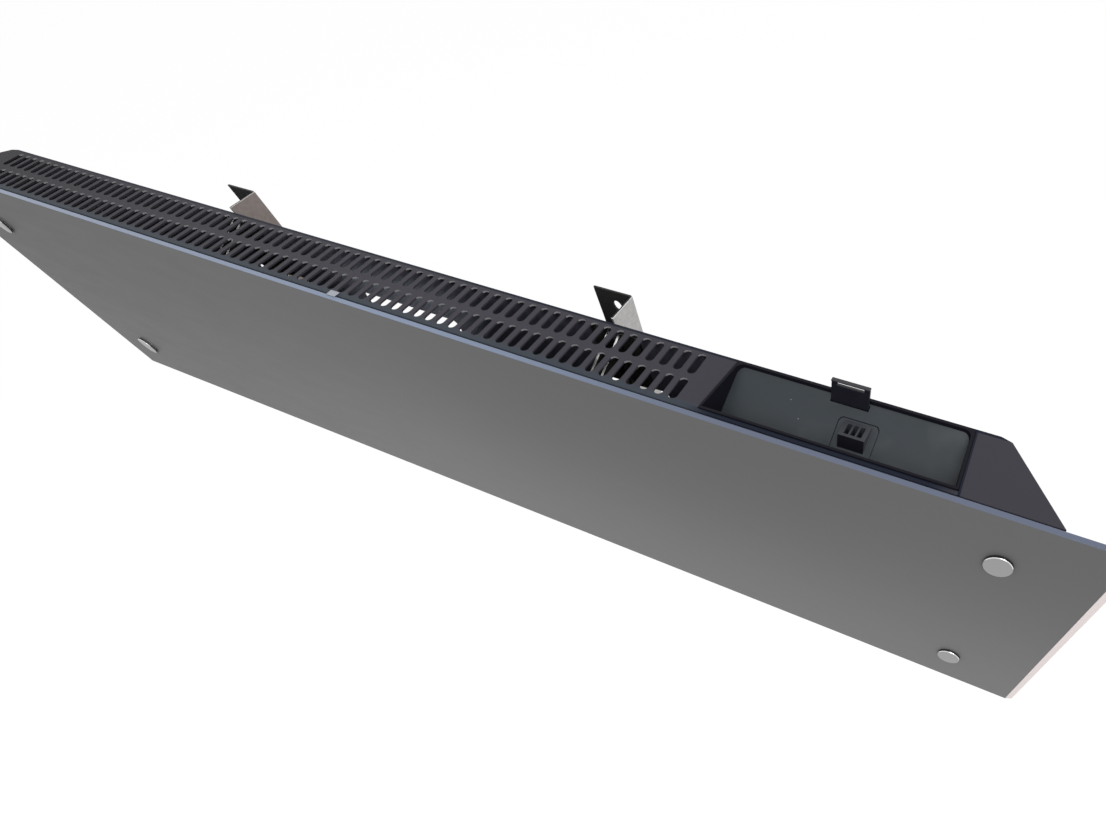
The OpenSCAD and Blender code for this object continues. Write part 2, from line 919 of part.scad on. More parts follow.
// Extruded aluminium fins around the rod
module element_fins() {
    color(aluminium)
        translate([element_x0, element_y, element_z])
            rotate([90, 0, 90])
                linear_extrude(element_l)
                    difference() {
                        union() {
                            circle(d = core_d);
                            for (i = [0 : fin_count - 1])
                                rotate(i * 360 / fin_count)
                                    translate([0, -fin_t / 2])
                                        square([element_d / 2, fin_t]);
                        }
                        circle(d = rod_d + 2 * hole_fit);
                    }
}

rod_tail = 22;

// Sheathed heating rod
module element_rod() {
    color(satin_steel)
        axle(element_x0 - rod_tail, element_y, element_z, rod_d, element_l + 2 * rod_tail);
}

bush_d = 22;
bush_t = 8;
support_x = element_x0 - element_end_gap;

// Ceramic bushes at both ends of the rod
module element_bushes() {
    color(ceramic)
        for (x = [support_x - bush_t / 2, partition_x + sheet_t / 2 - bush_t / 2])
            difference() {
                axle(x, element_y, element_z, bush_d, bush_t);
                axle(x - cut, element_y, element_z, rod_d + 2 * hole_fit, bush_t + 2 * cut);
            }
}

divider_top = 34;
divider_floor = 150;

// Sheet across the casing with a hole for a bush and a lip at the rear panel on one side
module divider(x, side, top, floor_drop) {
    middle = x + sheet_t / 2;
    edge = middle + side * (hanger_lip - sheet_t / 2);
    difference() {
        union() {
            block([x, y_in_front, z_top - floor_drop], [x + sheet_t, y_in_rear, z_top - top]);
            block([min(middle, edge), y_in_rear - sheet_t, z_top - floor_drop],
                [max(middle, edge), y_in_rear, z_top - top]);
        }
        axle(x - cut, element_y, element_z, bush_d + 2 * hole_fit, sheet_t + 2 * cut);
        rear_screw_places()
            peg(0, y_rear - y_in_rear, 0, screw_d + 2 * hole_fit, 2 * hanger_t + 2 * cut);
    }
}

// Support at the far end of the element
module element_support() {
    color(zinc)
        divider(support_x - sheet_t / 2, 1, divider_top, divider_floor);
}

// Partition between the warm side and the connection chamber
module partition_plate() {
    color(zinc)
        divider(partition_x, -1, sheet_t, casing_h - sheet_t);
}

shield_t = 0.5;
shield_top = 92;
shield_floor = 164;
shield_gap = 4;
shield_rib = 2;

// Bright sheets that keep the element's heat off the rear panel
module heat_shield() {
    lip = window_w / 2 + shield_gap;
    spans = [
        [support_x + hanger_lip + shield_gap, hook_xs[0] - lip],
        [hook_xs[0] + lip, hook_xs[1] - lip]
    ];
    color(aluminium)
        for (span = spans) {
            block([span[0], y_in_rear - shield_rib - shield_t, z_top - shield_floor],
                [span[1], y_in_rear - shield_rib, z_top - shield_top]);
            for (z = [z_top - shield_floor, z_top - shield_top - shield_t])
                block([span[0], y_in_rear - shield_rib, z], [span[1], y_in_rear, z + shield_t]);
        }
}

cutout_d = 16;
cutout_t = 8;
cutout_flange_d = 22;
cutout_flange_t = 1.5;
cutout_drop = 66;

// Overheat cut-out on the warm face of the partition
module thermal_cutout() {
    z = z_top - cutout_drop;
    color(black_plastic) {
        axle(partition_x - cutout_flange_t, element_y, z, cutout_flange_d, cutout_flange_t);
        axle(partition_x - cutout_flange_t - cutout_t, element_y, z, cutout_d, cutout_t);
    }
}

terminal_w = 12;
terminal_d = 30;
terminal_h = 22;
terminal_drop = 78;
terminal_ways = 3;
terminal_hole_d = 3.6;

// Terminal block on the cool face of the partition
module terminal_block() {
    x0 = partition_x + sheet_t;
    z0 = z_top - terminal_drop - terminal_h;
    color(white_nylon)
        difference() {
            block([x0, element_y - terminal_d / 2, z0],
                [x0 + terminal_w, element_y + terminal_d / 2, z0 + terminal_h]);
            for (i = [0 : terminal_ways - 1])
                translate([x0 + terminal_w / 2, terminal_y(i), z0 - cut])
                    cylinder(d = terminal_hole_d, h = terminal_h + 2 * cut);
        }
}

function terminal_y(i) = element_y + (i - (terminal_ways - 1) / 2) * terminal_d / terminal_ways;

earth_out = 36;
earth_x = partition_x + earth_out;
earth_drop = 120;
earth_d = 4;
earth_head_d = 8;
earth_head_t = 3;
earth_l = 10;
washer_d = 12;
washer_t = 1.5;

// Earth screw on the front plate, with its washer
module earth_screw() {
    z = z_top - earth_drop;
    color(brass) {
        peg(earth_x, y_in_front + earth_l, z, earth_d, earth_l);
        peg(earth_x, y_in_front + earth_l + earth_head_t, z, earth_head_d, earth_head_t);
        peg(earth_x, y_in_front + washer_t, z, washer_d, washer_t);
    }
}

gland_shift = 49;
gland_x = bay_x + gland_shift;
gland_y = y_rear - casing_depth / 2;
gland_d = 14;
gland_flange_d = 20;
gland_flange_t = 2.5;
gland_bore_d = 7.5;
gland_l = 16;

// Gland in the bottom grille where the mains cord goes in
module cable_gland() {
    color(black_plastic)
        translate([gland_x, gland_y, z_floor])
            difference() {
                union() {
                    translate([0, 0, -gland_flange_t])
                        cylinder(d = gland_flange_d, h = gland_flange_t);
                    cylinder(d = gland_d, h = gland_l);
                    translate([0, 0, sheet_t])
                        cylinder(d = gland_flange_d, h = gland_flange_t);
                }
                translate([0, 0, -gland_flange_t - cut])
                    cylinder(d = gland_bore_d, h = gland_l + gland_flange_t + 2 * cut);
            }
}

wire_d = 2.4;
wire_sides = 8;
wire_corner = 0.8;

// A wire along its corner points
module wire(points) {
    last = len(points) - 2;
    for (i = [0 : last])
        wire_run(points[i], points[i + 1], i < last ? wire_corner : 0);
}

// One straight run of a wire, carried on into the next corner
module wire_run(a, b, overlap) {
    run = b - a;
    length = norm(run);
    translate(a)
        rotate([0, acos(run[2] / length), atan2(run[1], run[0])])
            cylinder(d = wire_d, h = length + overlap, $fn = wire_sides);
}

terminal_x = partition_x + sheet_t + terminal_w / 2;
terminal_z = z_top - terminal_drop;
wire_rise = 9;

// Points of a wire from a contact of the socket down to its terminal
function lead(i) = [
    [contact_x(i) - contact_t / 2, socket_mid_y, contact_low - wire_d / 2],
    [contact_x(i) - contact_t / 2, terminal_y(i), terminal_z + wire_rise + i * wire_d],
    [terminal_x, terminal_y(i), terminal_z + wire_rise + i * wire_d],
    [terminal_x, terminal_y(i), terminal_z - terminal_h / 2]
];

module wire_live() {
    color(brown)
        wire(lead(0));
}

module wire_neutral() {
    color(blue)
        wire(lead(1));
}

module wire_earth() {
    color(earth_green)
        wire([
            [terminal_x, terminal_y(2), terminal_z - terminal_h - wire_rise / 2],
            [earth_x, terminal_y(2), z_top - earth_drop],
            [earth_x, y_in_front + earth_l + earth_head_t, z_top - earth_drop]
        ]);
}

screw_l = 6;
screw_edge = 7;
screw_drop = 25;
screw_rows = [screw_drop, hanger_floor - screw_edge];
screw_lip = hanger_half + hanger_t + hanger_lip / 2;

// Places of the screws that hold the rear panel
module rear_screw_places() {
    for (drop = screw_rows) {
        for (x = hook_xs)
            for (side = [-1, 1])
                translate([x + side * screw_lip, y_rear, z_top - drop])
                    children();
        translate([partition_x + sheet_t - hanger_lip / 2, y_rear, z_top - drop])
            children();
    }
    translate([support_x - sheet_t / 2 + hanger_lip / 2, y_rear, z_top - (divider_top + divider_floor) / 2])
        children();
}

// Pan-head screw with its head on the face at y = 0
module screw() {
    peg(0, screw_head_t, 0, screw_head_d, screw_head_t);
    peg(0, 0, 0, screw_d, screw_l);
}

module rear_screws() {
    color(zinc)
        rear_screw_places()
            screw();
}

module bottom_screws() {
    color(zinc)
        bottom_screw_places() {
            peg(0, screw_head_t, 0, screw_head_d, screw_head_t);
            peg(0, 0, 0, screw_d, 2 * sheet_t);
        }
}

rivet_d = 4;
rivet_head_d = 6.4;
rivet_head_t = 0.8;
rivet_drop = 38;
rivet_floor_edge = 10;
rivet_rows = [rivet_drop, hanger_floor - rivet_floor_edge];

// Places of the rivets between the front plate and the hangers
module rivet_places() {
    for (x = hook_xs)
        for (drop = rivet_rows)
            translate([x, 0, z_top - drop])
                children();
}

module front_rivets() {
    grip = sheet_t + hanger_t;
    color(zinc)
        rivet_places() {
            peg(0, y_front + grip, 0, rivet_d, grip);
            peg(0, y_front, 0, rivet_head_d, rivet_head_t);
            peg(0, y_front + grip + rivet_head_t, 0, rivet_head_d, rivet_head_t);
        }
}

wall_bracket_left();
wall_bracket_right();
casing_wrap();
bottom_grille();
rear_panel();
front_plate();
glass_panel();
disc_caps();
cap_bushes();
glass_studs();
stud_nuts();
glass_pads();
glass_top_clip();
control_tray();
control_socket();
socket_contacts();
latch_tab();
hanger_bracket_left();
hanger_bracket_right();
hook_pins();
rear_buffers();
element_fins();
element_rod();
element_bushes();
element_support();
partition_plate();
heat_shield();
thermal_cutout();
terminal_block();
earth_screw();
cable_gland();
wire_live();
wire_neutral();
wire_earth();
rear_screws();
front_rivets();
bottom_screws();
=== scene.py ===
"""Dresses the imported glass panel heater: soft edges, turned caps, finishes, light and camera."""
import logging
import math
from dataclasses import dataclass
from enum import Enum
from typing import Any, Callable, Iterable, Sequence

import bmesh
import bpy
from mathutils import Matrix, Quaternion, Vector


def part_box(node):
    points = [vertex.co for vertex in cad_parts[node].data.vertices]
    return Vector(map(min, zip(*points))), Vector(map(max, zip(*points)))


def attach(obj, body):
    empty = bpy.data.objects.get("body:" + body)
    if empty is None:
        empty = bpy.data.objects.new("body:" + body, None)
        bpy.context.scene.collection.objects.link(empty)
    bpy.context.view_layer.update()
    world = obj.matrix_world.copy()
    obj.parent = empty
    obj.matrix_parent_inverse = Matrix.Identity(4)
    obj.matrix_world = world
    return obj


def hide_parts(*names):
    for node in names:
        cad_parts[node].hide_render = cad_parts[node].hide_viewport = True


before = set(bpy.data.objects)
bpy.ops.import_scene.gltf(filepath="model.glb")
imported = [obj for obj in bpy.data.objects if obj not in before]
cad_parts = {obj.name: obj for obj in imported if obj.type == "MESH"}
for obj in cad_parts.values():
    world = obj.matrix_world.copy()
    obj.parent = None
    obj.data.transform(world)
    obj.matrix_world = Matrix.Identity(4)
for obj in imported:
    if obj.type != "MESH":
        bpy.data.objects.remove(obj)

log = logging.getLogger("heater")

MM = 0.001
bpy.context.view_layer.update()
JOIN = 0.002 * MM
TOUCH = 0.01 * MM
LEFT_FADE = (50.0 * MM, -0.5)
Pair = tuple[float, float]
Triple = tuple[float, float, float]
Colour = Triple


class Body(Enum):
    """The bodies that pieces ride on."""

    BRACKETS = "wall_brackets"
    HEATER = "heater"
    LATCH = "latch"


class Slot(Enum):
    """The record's material slots, passed to the rebuilt pieces but not set on them."""

    CASING = "casing_paint"
    GLASS = "front_glass"
    ZINC = "zinc_plate"
    SATIN = "satin_steel"
    ALUMINIUM = "element_aluminium"
    BLACK = "black_plastic"
    GREY = "grey_plastic"
    NYLON = "nylon"


class Term:
    """A shader value that Python's operators write Math nodes for."""

    def __init__(self, bench: "NodeBench", socket: bpy.types.NodeSocket) -> None:
        """Keeps the material's nodes and the socket that carries the value."""
        self.bench = bench
        self.socket = socket

    def _math(self, operation: str, *values: Any) -> "Term":
        """Adds a Math node.

        Args:
            operation: The node's operation.
            values: Terms or numbers for its inputs, in order.

        Returns:
            The node's result.
        """
        node = self.bench.add("ShaderNodeMath", {"operation": operation}, dict(enumerate(values)))
        return Term(self.bench, node.outputs[0])

    def __add__(self, other: Any) -> "Term":
        """Sum."""
        return self._math("ADD", self, other)

    def __radd__(self, other: Any) -> "Term":
        """Sum with a number on the left."""
        return self._math("ADD", other, self)

    def __sub__(self, other: Any) -> "Term":
        """Difference."""
        return self._math("SUBTRACT", self, other)

    def __rsub__(self, other: Any) -> "Term":
        """Difference from a number."""
        return self._math("SUBTRACT", other, self)

    def __mul__(self, other: Any) -> "Term":
        """Product."""
        return self._math("MULTIPLY", self, other)

    def __rmul__(self, other: Any) -> "Term":
        """Product with a number on the left."""
        return self._math("MULTIPLY", other, self)

    def __abs__(self) -> "Term":
        """Size without its sign."""
        return self._math("ABSOLUTE", self)

    def __gt__(self, other: Any) -> "Term":
        """One where the value is greater, else zero."""
        return self._math("GREATER_THAN", self, other)

    def __lt__(self, other: Any) -> "Term":
        """One where the value is less, else zero."""
        return self._math("LESS_THAN", self, other)

    def larger(self, other: Any) -> "Term":
        """The larger of two values."""
        return self._math("MAXIMUM", self, other)

    def root(self) -> "Term":
        """Square root."""
        return self._math("SQRT", self)

    def sine(self) -> "Term":
        """Sine."""
        return self._math("SINE", self)

    def rise(self, low: float, high: float) -> "Term":
        """Smooth rise.

        Args:
            low: Value at which the result is zero.
            high: Value at which the result is one.

        Returns:
            The smooth step between them.
        """
        settings = {"interpolation_type": "SMOOTHSTEP"}
        node = self.bench.add("ShaderNodeMapRange", settings, {0: self, 1: low, 2: high})
        return Term(self.bench, node.outputs[0])


class NodeBench:
    """The nodes of one material or world."""

    def __init__(self, holder: bpy.types.Material | bpy.types.World) -> None:
        """Opens the nodes of the material or world."""
        holder.use_nodes = True
        self.tree = holder.node_tree

    @property
    def shader(self) -> bpy.types.Node:
        """A material's Principled shader."""
        return self.tree.nodes["Principled BSDF"]

    def add(self, kind: str, settings: dict[str, Any] | None = None,
            inputs: dict[Any, Any] | None = None) -> bpy.types.Node:
        """Adds one node.

        Args:
            kind: The node's type.
            settings: Its properties, which are set first.
            inputs: Values or links by socket name or number.

        Returns:
            The node.
        """
        node = self.tree.nodes.new(kind)
        for key, value in (settings or {}).items():
            setattr(node, key, value)
        for key, value in (inputs or {}).items():
            self.join(value, node.inputs[key])
        return node

    def join(self, value: Any, socket: bpy.types.NodeSocket) -> None:
        """Feeds an input.

        Args:
            value: A term or socket, which is linked, or a constant, which is set.
            socket: The input.
        """
        source = value.socket if isinstance(value, Term) else value
        if isinstance(source, bpy.types.NodeSocket):
            self.tree.links.new(source, socket)
        else:
            socket.default_value = source

    def place(self, stretch: Triple = (1.0, 1.0, 1.0),
              shift: Triple = (0.0, 0.0, 0.0)) -> bpy.types.NodeSocket:
        """Object coordinates.

        Args:
            stretch: Factor along each axis.
            shift: Shift along each axis.

        Returns:
            The mapped vector.
        """
        coordinates = self.add("ShaderNodeTexCoord").outputs["Object"]
        inputs = {"Vector": coordinates, "Location": shift, "Scale": stretch}
        return self.add("ShaderNodeMapping", inputs=inputs).outputs[0]

    def split(self, vector: bpy.types.NodeSocket) -> tuple[Term, Term, Term]:
        """The three parts of a vector."""
        node = self.add("ShaderNodeSeparateXYZ", inputs={0: vector})
        return Term(self, node.outputs[0]), Term(self, node.outputs[1]), Term(self, node.outputs[2])

    def noise(self, vector: bpy.types.NodeSocket, scale: float, detail: float = 2.0,
              roughness: float = 0.5) -> Term:
        """Noise from 0 to 1 at a number of waves a metre."""
        inputs = {"Vector": vector, "Scale": scale, "Detail": detail, "Roughness": roughness}
        return Term(self, self.add("ShaderNodeTexNoise", inputs=inputs).outputs[0])

    def cells(self, vector: bpy.types.NodeSocket, scale: float, colour: bool = False) -> Term:
        """Cell pattern.

        Args:
            vector: Where the pattern is read.
            scale: Cells a metre.
            colour: Whether the value is one number a cell, in place of the distance to its middle.

        Returns:
            The value.
        """
        node = self.add("ShaderNodeTexVoronoi", inputs={"Vector": vector, "Scale": scale})
        if not colour:
            return Term(self, node.outputs["Distance"])
        return self.split(node.outputs["Color"])[0]

    def between(self, factor: Any, low: Any, high: Any) -> bpy.types.NodeSocket:
        """Mixes two colours.

        Args:
            factor: Share of the second colour.
            low: First colour or socket.
            high: Second colour or socket.

        Returns:
            The mixed colour.
        """
        settings = {"data_type": "RGBA"}
        colours = {i: (*c, 1.0) if isinstance(c, tuple) else c for i, c in ((6, low), (7, high))}
        return self.add("ShaderNodeMix", settings, {0: factor, **colours}).outputs[2]

    def paint(self, colour: bpy.types.NodeSocket) -> None:
        """Feeds the shader's Base Color."""
        self.join(colour, self.shader.inputs["Base Color"])

    def relief(self, height: Term, strength: float, distance: float) -> None:
        """Feeds the shader's Normal from a height.

        Args:
            height: Height from 0 to 1.
            strength: Share of the effect.
            distance: Depth of the relief in metres.
        """
        inputs = {"Strength": strength, "Distance": distance, "Height": height}
        bump = self.add("ShaderNodeBump", inputs=inputs)
        self.join(bump.outputs[0], self.shader.inputs["Normal"])


def shade(colour: Colour, factor: float) -> Colour:
    """A colour made lighter or darker by a factor."""
    return (colour[0] * factor, colour[1] * factor, colour[2] * factor)


@dataclass(frozen=True)
class Finish:
    """What every finish has: a name, a colour and a shine."""

    name: str
    colour: Colour
    roughness: float = 0.5
    metallic: float = 0.0
    specular: float = 0.5

    def material(self) -> bpy.types.Material:
        """Makes the finish's material on first use.

        Returns:
            The material.
        """
        found = bpy.data.materials.get(self.name)
        if found is not None:
            return found
        material = bpy.data.materials.new(self.name)
        material.diffuse_color = (*self.colour, 1.0)
        bench = NodeBench(material)
        inputs = bench.shader.inputs
        inputs["Base Color"].default_value = (*self.colour, 1.0)
        inputs["Roughness"].default_value = self.roughness
        inputs["Metallic"].default_value = self.metallic
        inputs["Specular IOR Level"].default_value = self.specular
        self.dress(bench)
        return material

    def dress(self, bench: NodeBench) -> None:
        """Adds what changes over the surface.

        Args:
            bench: The material's nodes.
        """

    def toned(self, bench: NodeBench, factor: Term, low: float,
              high: float) -> bpy.types.NodeSocket:
        """The colour, varied between two factors of itself."""
        return bench.between(factor, shade(self.colour, low), shade(self.colour, high))

    def tint(self, bench: NodeBench, factor: Term, low: float, high: float) -> None:
        """Gives the whole surface the varied colour."""
        bench.paint(self.toned(bench, factor, low, high))

    def vary_roughness(self, bench: NodeBench, factor: Term, reach: float) -> None:
        """Varies the roughness by a reach on both sides."""
        value = factor * (2 * reach) + (self.roughness - reach)
        bench.join(value, bench.shader.inputs["Roughness"])


@dataclass(frozen=True)
class PowderCoat(Finish):
    """Fine-textured powder coat on sheet steel."""

    grain: float = 1500.0
    depth: float = 0.12 * MM
    top_z: float = 70.6 * MM
    dust_tone: Colour = (0.32, 0.32, 0.34)
    # Painted shade: the colour that the top darkens to towards its left end.
    far_left_shade: Colour = (0.012, 0.011, 0.014)
    left_share: float = 0.75
    # Painted shade: the bluish dark tone of the front margin near the bay.
    front_shade_tone: Colour = (0.043, 0.057, 0.073)
    front_share: float = 0.7
    front_depth: Pair = (-66.0 * MM, -71.0 * MM)
    front_reach: Pair = (0.46, 0.38)
    shadow: Colour = (0.006, 0.009, 0.020)
    rear_line: float = -27.3 * MM
    bay_line: float = -69.8 * MM
    bay_start: float = 270.0 * MM
    bay_end: float = 446.0 * MM
    bay_fade: float = 24.0 * MM
    bay_slant: float = 0.0913
    gap_start: float = 432.5 * MM
    gap_end: float = 434.3 * MM

    def dress(self, bench: NodeBench) -> None:
        """Adds texture, slow changes of tone, dust, painted shade towards the left end and on the
        front margin, and painted shadow lines at the fold and by the bay.
        """
        place = bench.place()
        x, y, z = bench.split(place)
        top = z > self.top_z
        fine = bench.noise(place, self.grain, 3.0, 0.6)
        slow = bench.noise(place, 9.0, 2.0)
        specks = bench.cells(place, 260.0).rise(0.055, 0.02) * (bench.noise(place, 31.0) > 0.56)
        toned = self.toned(bench, fine * 0.5 + slow * 0.5, 0.82, 1.18)
        # Painted shade: the top grows darker towards the left end.
        left = top * x.rise(*LEFT_FADE) * self.left_share
        # Painted shade: the front margin near the bay turns bluish and darker.
        front = top * y.rise(*self.front_depth) * x.rise(*self.front_reach) * self.front_share
        toned = bench.between(front, bench.between(left, toned, self.far_left_shade), self.front_shade_tone)
        dusty = bench.between(specks * 0.35, toned, self.dust_tone)
        start, end = self.bay_start, self.bay_end
        along = x.rise(start, start + self.bay_fade) * x.rise(end, end - self.bay_fade)
        side = x + y * self.bay_slant
        start, end = self.gap_start, self.gap_end
        gap = side.rise(start, start + 0.3 * MM) * side.rise(end, end - 0.4 * MM)
        # Painted shadow lines along the front margin by the bay and along the rear fold, and a dark
        # line at the gap beside the bay.
        dark = top * ((y < self.bay_line) * along * 0.9 + (y > self.rear_line) * 0.95 + gap * 0.9)
        bench.paint(bench.between(dark, dusty, self.shadow))
        self.vary_roughness(bench, fine, 0.07)
        bench.relief(fine, 0.35, self.depth)


@dataclass(frozen=True)
class InnerSheet(Finish):
    """Inner side of the rear panel, with painted light around and below the hand window."""

    # Painted light: the colour of the inner side where light falls in through the window.
    pale: Colour = (0.42, 0.45, 0.53)
    middle: float = -16.0 * MM
    reach: float = 62.0 * MM
    reach_fade: float = 30.0 * MM
    pale_top: float = 67.0 * MM
    pale_fade: float = 26.0 * MM

    def dress(self, bench: NodeBench) -> None:
        """Adds the painted light near the window, fading towards the top, and rolling lines."""
        x, _, z = bench.split(bench.place())
        lines = bench.noise(bench.place((40.0, 40.0, 1800.0)), 1.0, 2.0)
        # Painted light: strongest near the window's middle and low down, fading upwards.
        near = abs(x - self.middle).rise(self.reach + self.reach_fade, self.reach - self.reach_fade)
        below = z.rise(self.pale_top, self.pale_top - self.pale_fade)
        bench.paint(bench.between(near * below, self.colour, self.pale))
        self.vary_roughness(bench, lines, 0.08)


@dataclass(frozen=True)
class PaintedGlass(Finish):
    """Glass with paint on its back, seen through the glass."""

    # Painted light from below: the heights over which it rises, and its reach, which it shares with
    # random tone.
    top: float = 72.0 * MM
    bottom: float = -128.0 * MM
    light_and_tone_reach: float = 0.21
    # Painted shade towards the left end: its share and the factor it darkens to.
    left_share: float = 0.36
    left_shade: float = 0.3
    seam: Colour = (0.060, 0.032, 0.036)
    seam_start: float = 531.6 * MM
    seam_fade: float = 0.8 * MM

    def dress(self, bench: NodeBench) -> None:
        """Adds wiping marks and a slow change of tone, with painted light that makes it paler
        towards the bottom and painted shade that makes it darker towards the left.
        """
        x, _, z = bench.split(bench.place())
        cloud = bench.noise(bench.place(), 3.2, 2.0, 0.45)
        wipe = bench.noise(bench.place((1.0, 1.0, 5.0)), 22.0, 3.0, 0.6)
        fine = bench.noise(bench.place(), 700.0, 2.0)
        # Painted light from below: the glass grows paler towards the bottom, mixed with random
        # tone.
        share = z.rise(self.top, self.bottom) * 0.8 + cloud * 0.15 + fine * 0.05
        toned = self.toned(bench, share, 1.0 - self.light_and_tone_reach, 1.0 + self.light_and_tone_reach)
        # Painted shade: the glass grows darker towards the left end.
        left = x.rise(*LEFT_FADE) * self.left_share
        toned = bench.between(left, toned, shade(self.colour, self.left_shade))
        seam = x.rise(self.seam_start, self.seam_start + self.seam_fade) * 0.8
        bench.paint(bench.between(seam, toned, self.seam))
        self.vary_roughness(bench, wipe, 0.05)
        bench.relief(bench.noise(bench.place(), 14.0, 1.0), 0.05, 0.2 * MM)


@dataclass(frozen=True)
class GroundGlass(Finish):
    """Ground and polished edge of the glass, coloured with a painted reflection of the pale room.
    """

    # Painted shade: the colour that the edge turns to towards the bay.
    far: Colour | None = None
    far_start: float = 60.0 * MM
    far_end: float = 330.0 * MM

    def dress(self, bench: NodeBench) -> None:
        """Adds grinding marks along the edge and, where a far colour is given, painted shade
        towards the bay.
        """
        marks = bench.noise(bench.place((14.0, 1400.0, 14.0)), 1.0, 4.0, 0.7)
        slow = bench.noise(bench.place(), 5.0, 1.0)
        x, _, _ = bench.split(bench.place())
        toned = self.toned(bench, marks * 0.5 + slow * 0.5, 0.88, 1.12)
        # Painted shade: the edge darkens towards the bay.
        share = x.rise(self.far_start, self.far_end)
        bench.paint(bench.between(share, toned, self.far or self.colour))
        self.vary_roughness(bench, marks, 0.10)
        bench.relief(marks, 0.25, 0.05 * MM)


@dataclass(frozen=True)
class ZincPlate(Finish):
    """Zinc-plated sheet with fine spangle and rolling lines."""

    spangle: float = 520.0

    def dress(self, bench: NodeBench) -> None:
        """Adds the spangle, rolling lines, scratches and a dull bloom."""
        place = bench.place()
        spangle = bench.cells(place, self.spangle, colour=True)
        lines = bench.noise(bench.place((60.0, 60.0, 2600.0)), 1.0, 3.0, 0.65)
        bloom = bench.noise(place, 48.0, 4.0, 0.6)
        streak = bench.place((900.0, 900.0, 22.0), (3.0, 1.0, 0.0))
        scratch = bench.noise(streak, 1.0, 1.0).rise(0.70, 0.78)
        self.tint(bench, spangle * 0.3 + bloom * 0.5 + lines * 0.2, 0.66, 1.26)
        self.vary_roughness(bench, bloom * 0.6 + spangle * 0.4 - scratch * 0.3, 0.13)
        bench.relief(lines * 0.6 + spangle * 0.2 + scratch * 0.2, 0.3, 0.06 * MM)


@dataclass(frozen=True)
class TurnedSteel(Finish):
    """Satin steel turned about the middle of each disc cap."""

    across: float = 0.474
    middle_z: float = -0.0285
    half_rise: float = 0.063
    rings: float = 9000.0

    def dress(self, bench: NodeBench) -> None:
        """Adds fine turned rings around each cap's middle."""
        x, _, z = bench.split(bench.place())
        u = abs(x) - self.across
        v = abs(z - self.middle_z) - self.half_rise
        radius = (u * u + v * v).root()
        rings = (radius * self.rings).sine() * 0.5 + 0.5
        grain = bench.noise(bench.place(), 900.0, 2.0)
        wear = rings * 0.5 + grain * 0.5
        self.tint(bench, wear, 0.93, 1.05)
        self.vary_roughness(bench, wear, 0.06)
        bench.relief(rings, 0.12, 0.02 * MM)


@dataclass(frozen=True)
class DrawnMetal(Finish):
    """Drawn or extruded metal with lines along the heater."""

    stain: float = 0.2

    def dress(self, bench: NodeBench) -> None:
        """Adds draw lines and a dull stain."""
        lines = bench.noise(bench.place((12.0, 2200.0, 2200.0)), 1.0, 3.0, 0.6)
        stain = bench.noise(bench.place(), 30.0, 3.0, 0.6)
        self.tint(bench, lines * (1.0 - self.stain) + stain * self.stain, 0.82, 1.10)
        self.vary_roughness(bench, lines * 0.6 + stain * 0.4, 0.10)
        bench.relief(lines, 0.3, 0.05 * MM)


@dataclass(frozen=True)
class MouldedPlastic(Finish):
    """Moulded plastic, from smooth and glossy to spark-eroded."""

    grain: float = 1200.0
    relief: float = 0.1
    dust: float = 0.0
    dust_tone: Colour = (0.45, 0.46, 0.46)

    def dress(self, bench: NodeBench) -> None:
        """Adds the mould's grain, its slow waviness and the dust that settles on it."""
        place = bench.place()
        fine = bench.noise(place, self.grain, 2.0, 0.55)
        slow = bench.noise(place, 40.0, 2.0)
        toned = self.toned(bench, fine * 0.4 + slow * 0.6, 0.85, 1.15)
        specks = bench.cells(place, 180.0).rise(0.06, 0.02) * (bench.noise(place, 47.0) > 0.60)
        film = bench.noise(place, 18.0, 3.0, 0.6).rise(0.45, 0.8) * 0.12
        bench.paint(bench.between((specks + film) * self.dust, toned, self.dust_tone))
        self.vary_roughness(bench, slow * 0.5 + fine * 0.5, 0.05)
        bench.relief(fine, self.relief, 0.06 * MM)


@dataclass(frozen=True)
class SoftFoam(Finish):
    """Closed-cell foam or soft rubber."""

    def dress(self, bench: NodeBench) -> None:
        """Adds small pores."""
        pores = bench.cells(bench.place(), 1400.0)
        self.tint(bench, pores, 0.7, 1.4)
        bench.relief(pores, 0.5, 0.2 * MM)


@dataclass(frozen=True)
class FiredClay(Finish):
    """Unglazed ceramic with fine specks."""

    def dress(self, bench: NodeBench) -> None:
        """Adds specks and a dry surface."""
        place = bench.place()
        specks = bench.cells(place, 900.0).rise(0.22, 0.10)
        grain = bench.noise(place, 600.0, 3.0)
        self.tint(bench, grain * 0.7 + (1.0 - specks) * 0.3, 0.86, 1.06)
        bench.relief(grain, 0.3, 0.1 * MM)


@dataclass(frozen=True)
class WireSleeve(Finish):
    """Soft sleeve of a wire, with a second colour in stripes where it has one."""

    stripe: Colour | None = None

    def dress(self, bench: NodeBench) -> None:
        """Adds the sleeve's sheen and its stripes."""
        x, _, z = bench.split(bench.place())
        grain = bench.noise(bench.place(), 800.0)
        if self.stripe is None:
            self.tint(bench, grain, 0.9, 1.1)
        else:
            band = ((x + z) * 900.0).sine().rise(-0.15, 0.15)
            bench.paint(bench.between(band, self.colour, self.stripe))
        self.vary_roughness(bench, grain, 0.05)


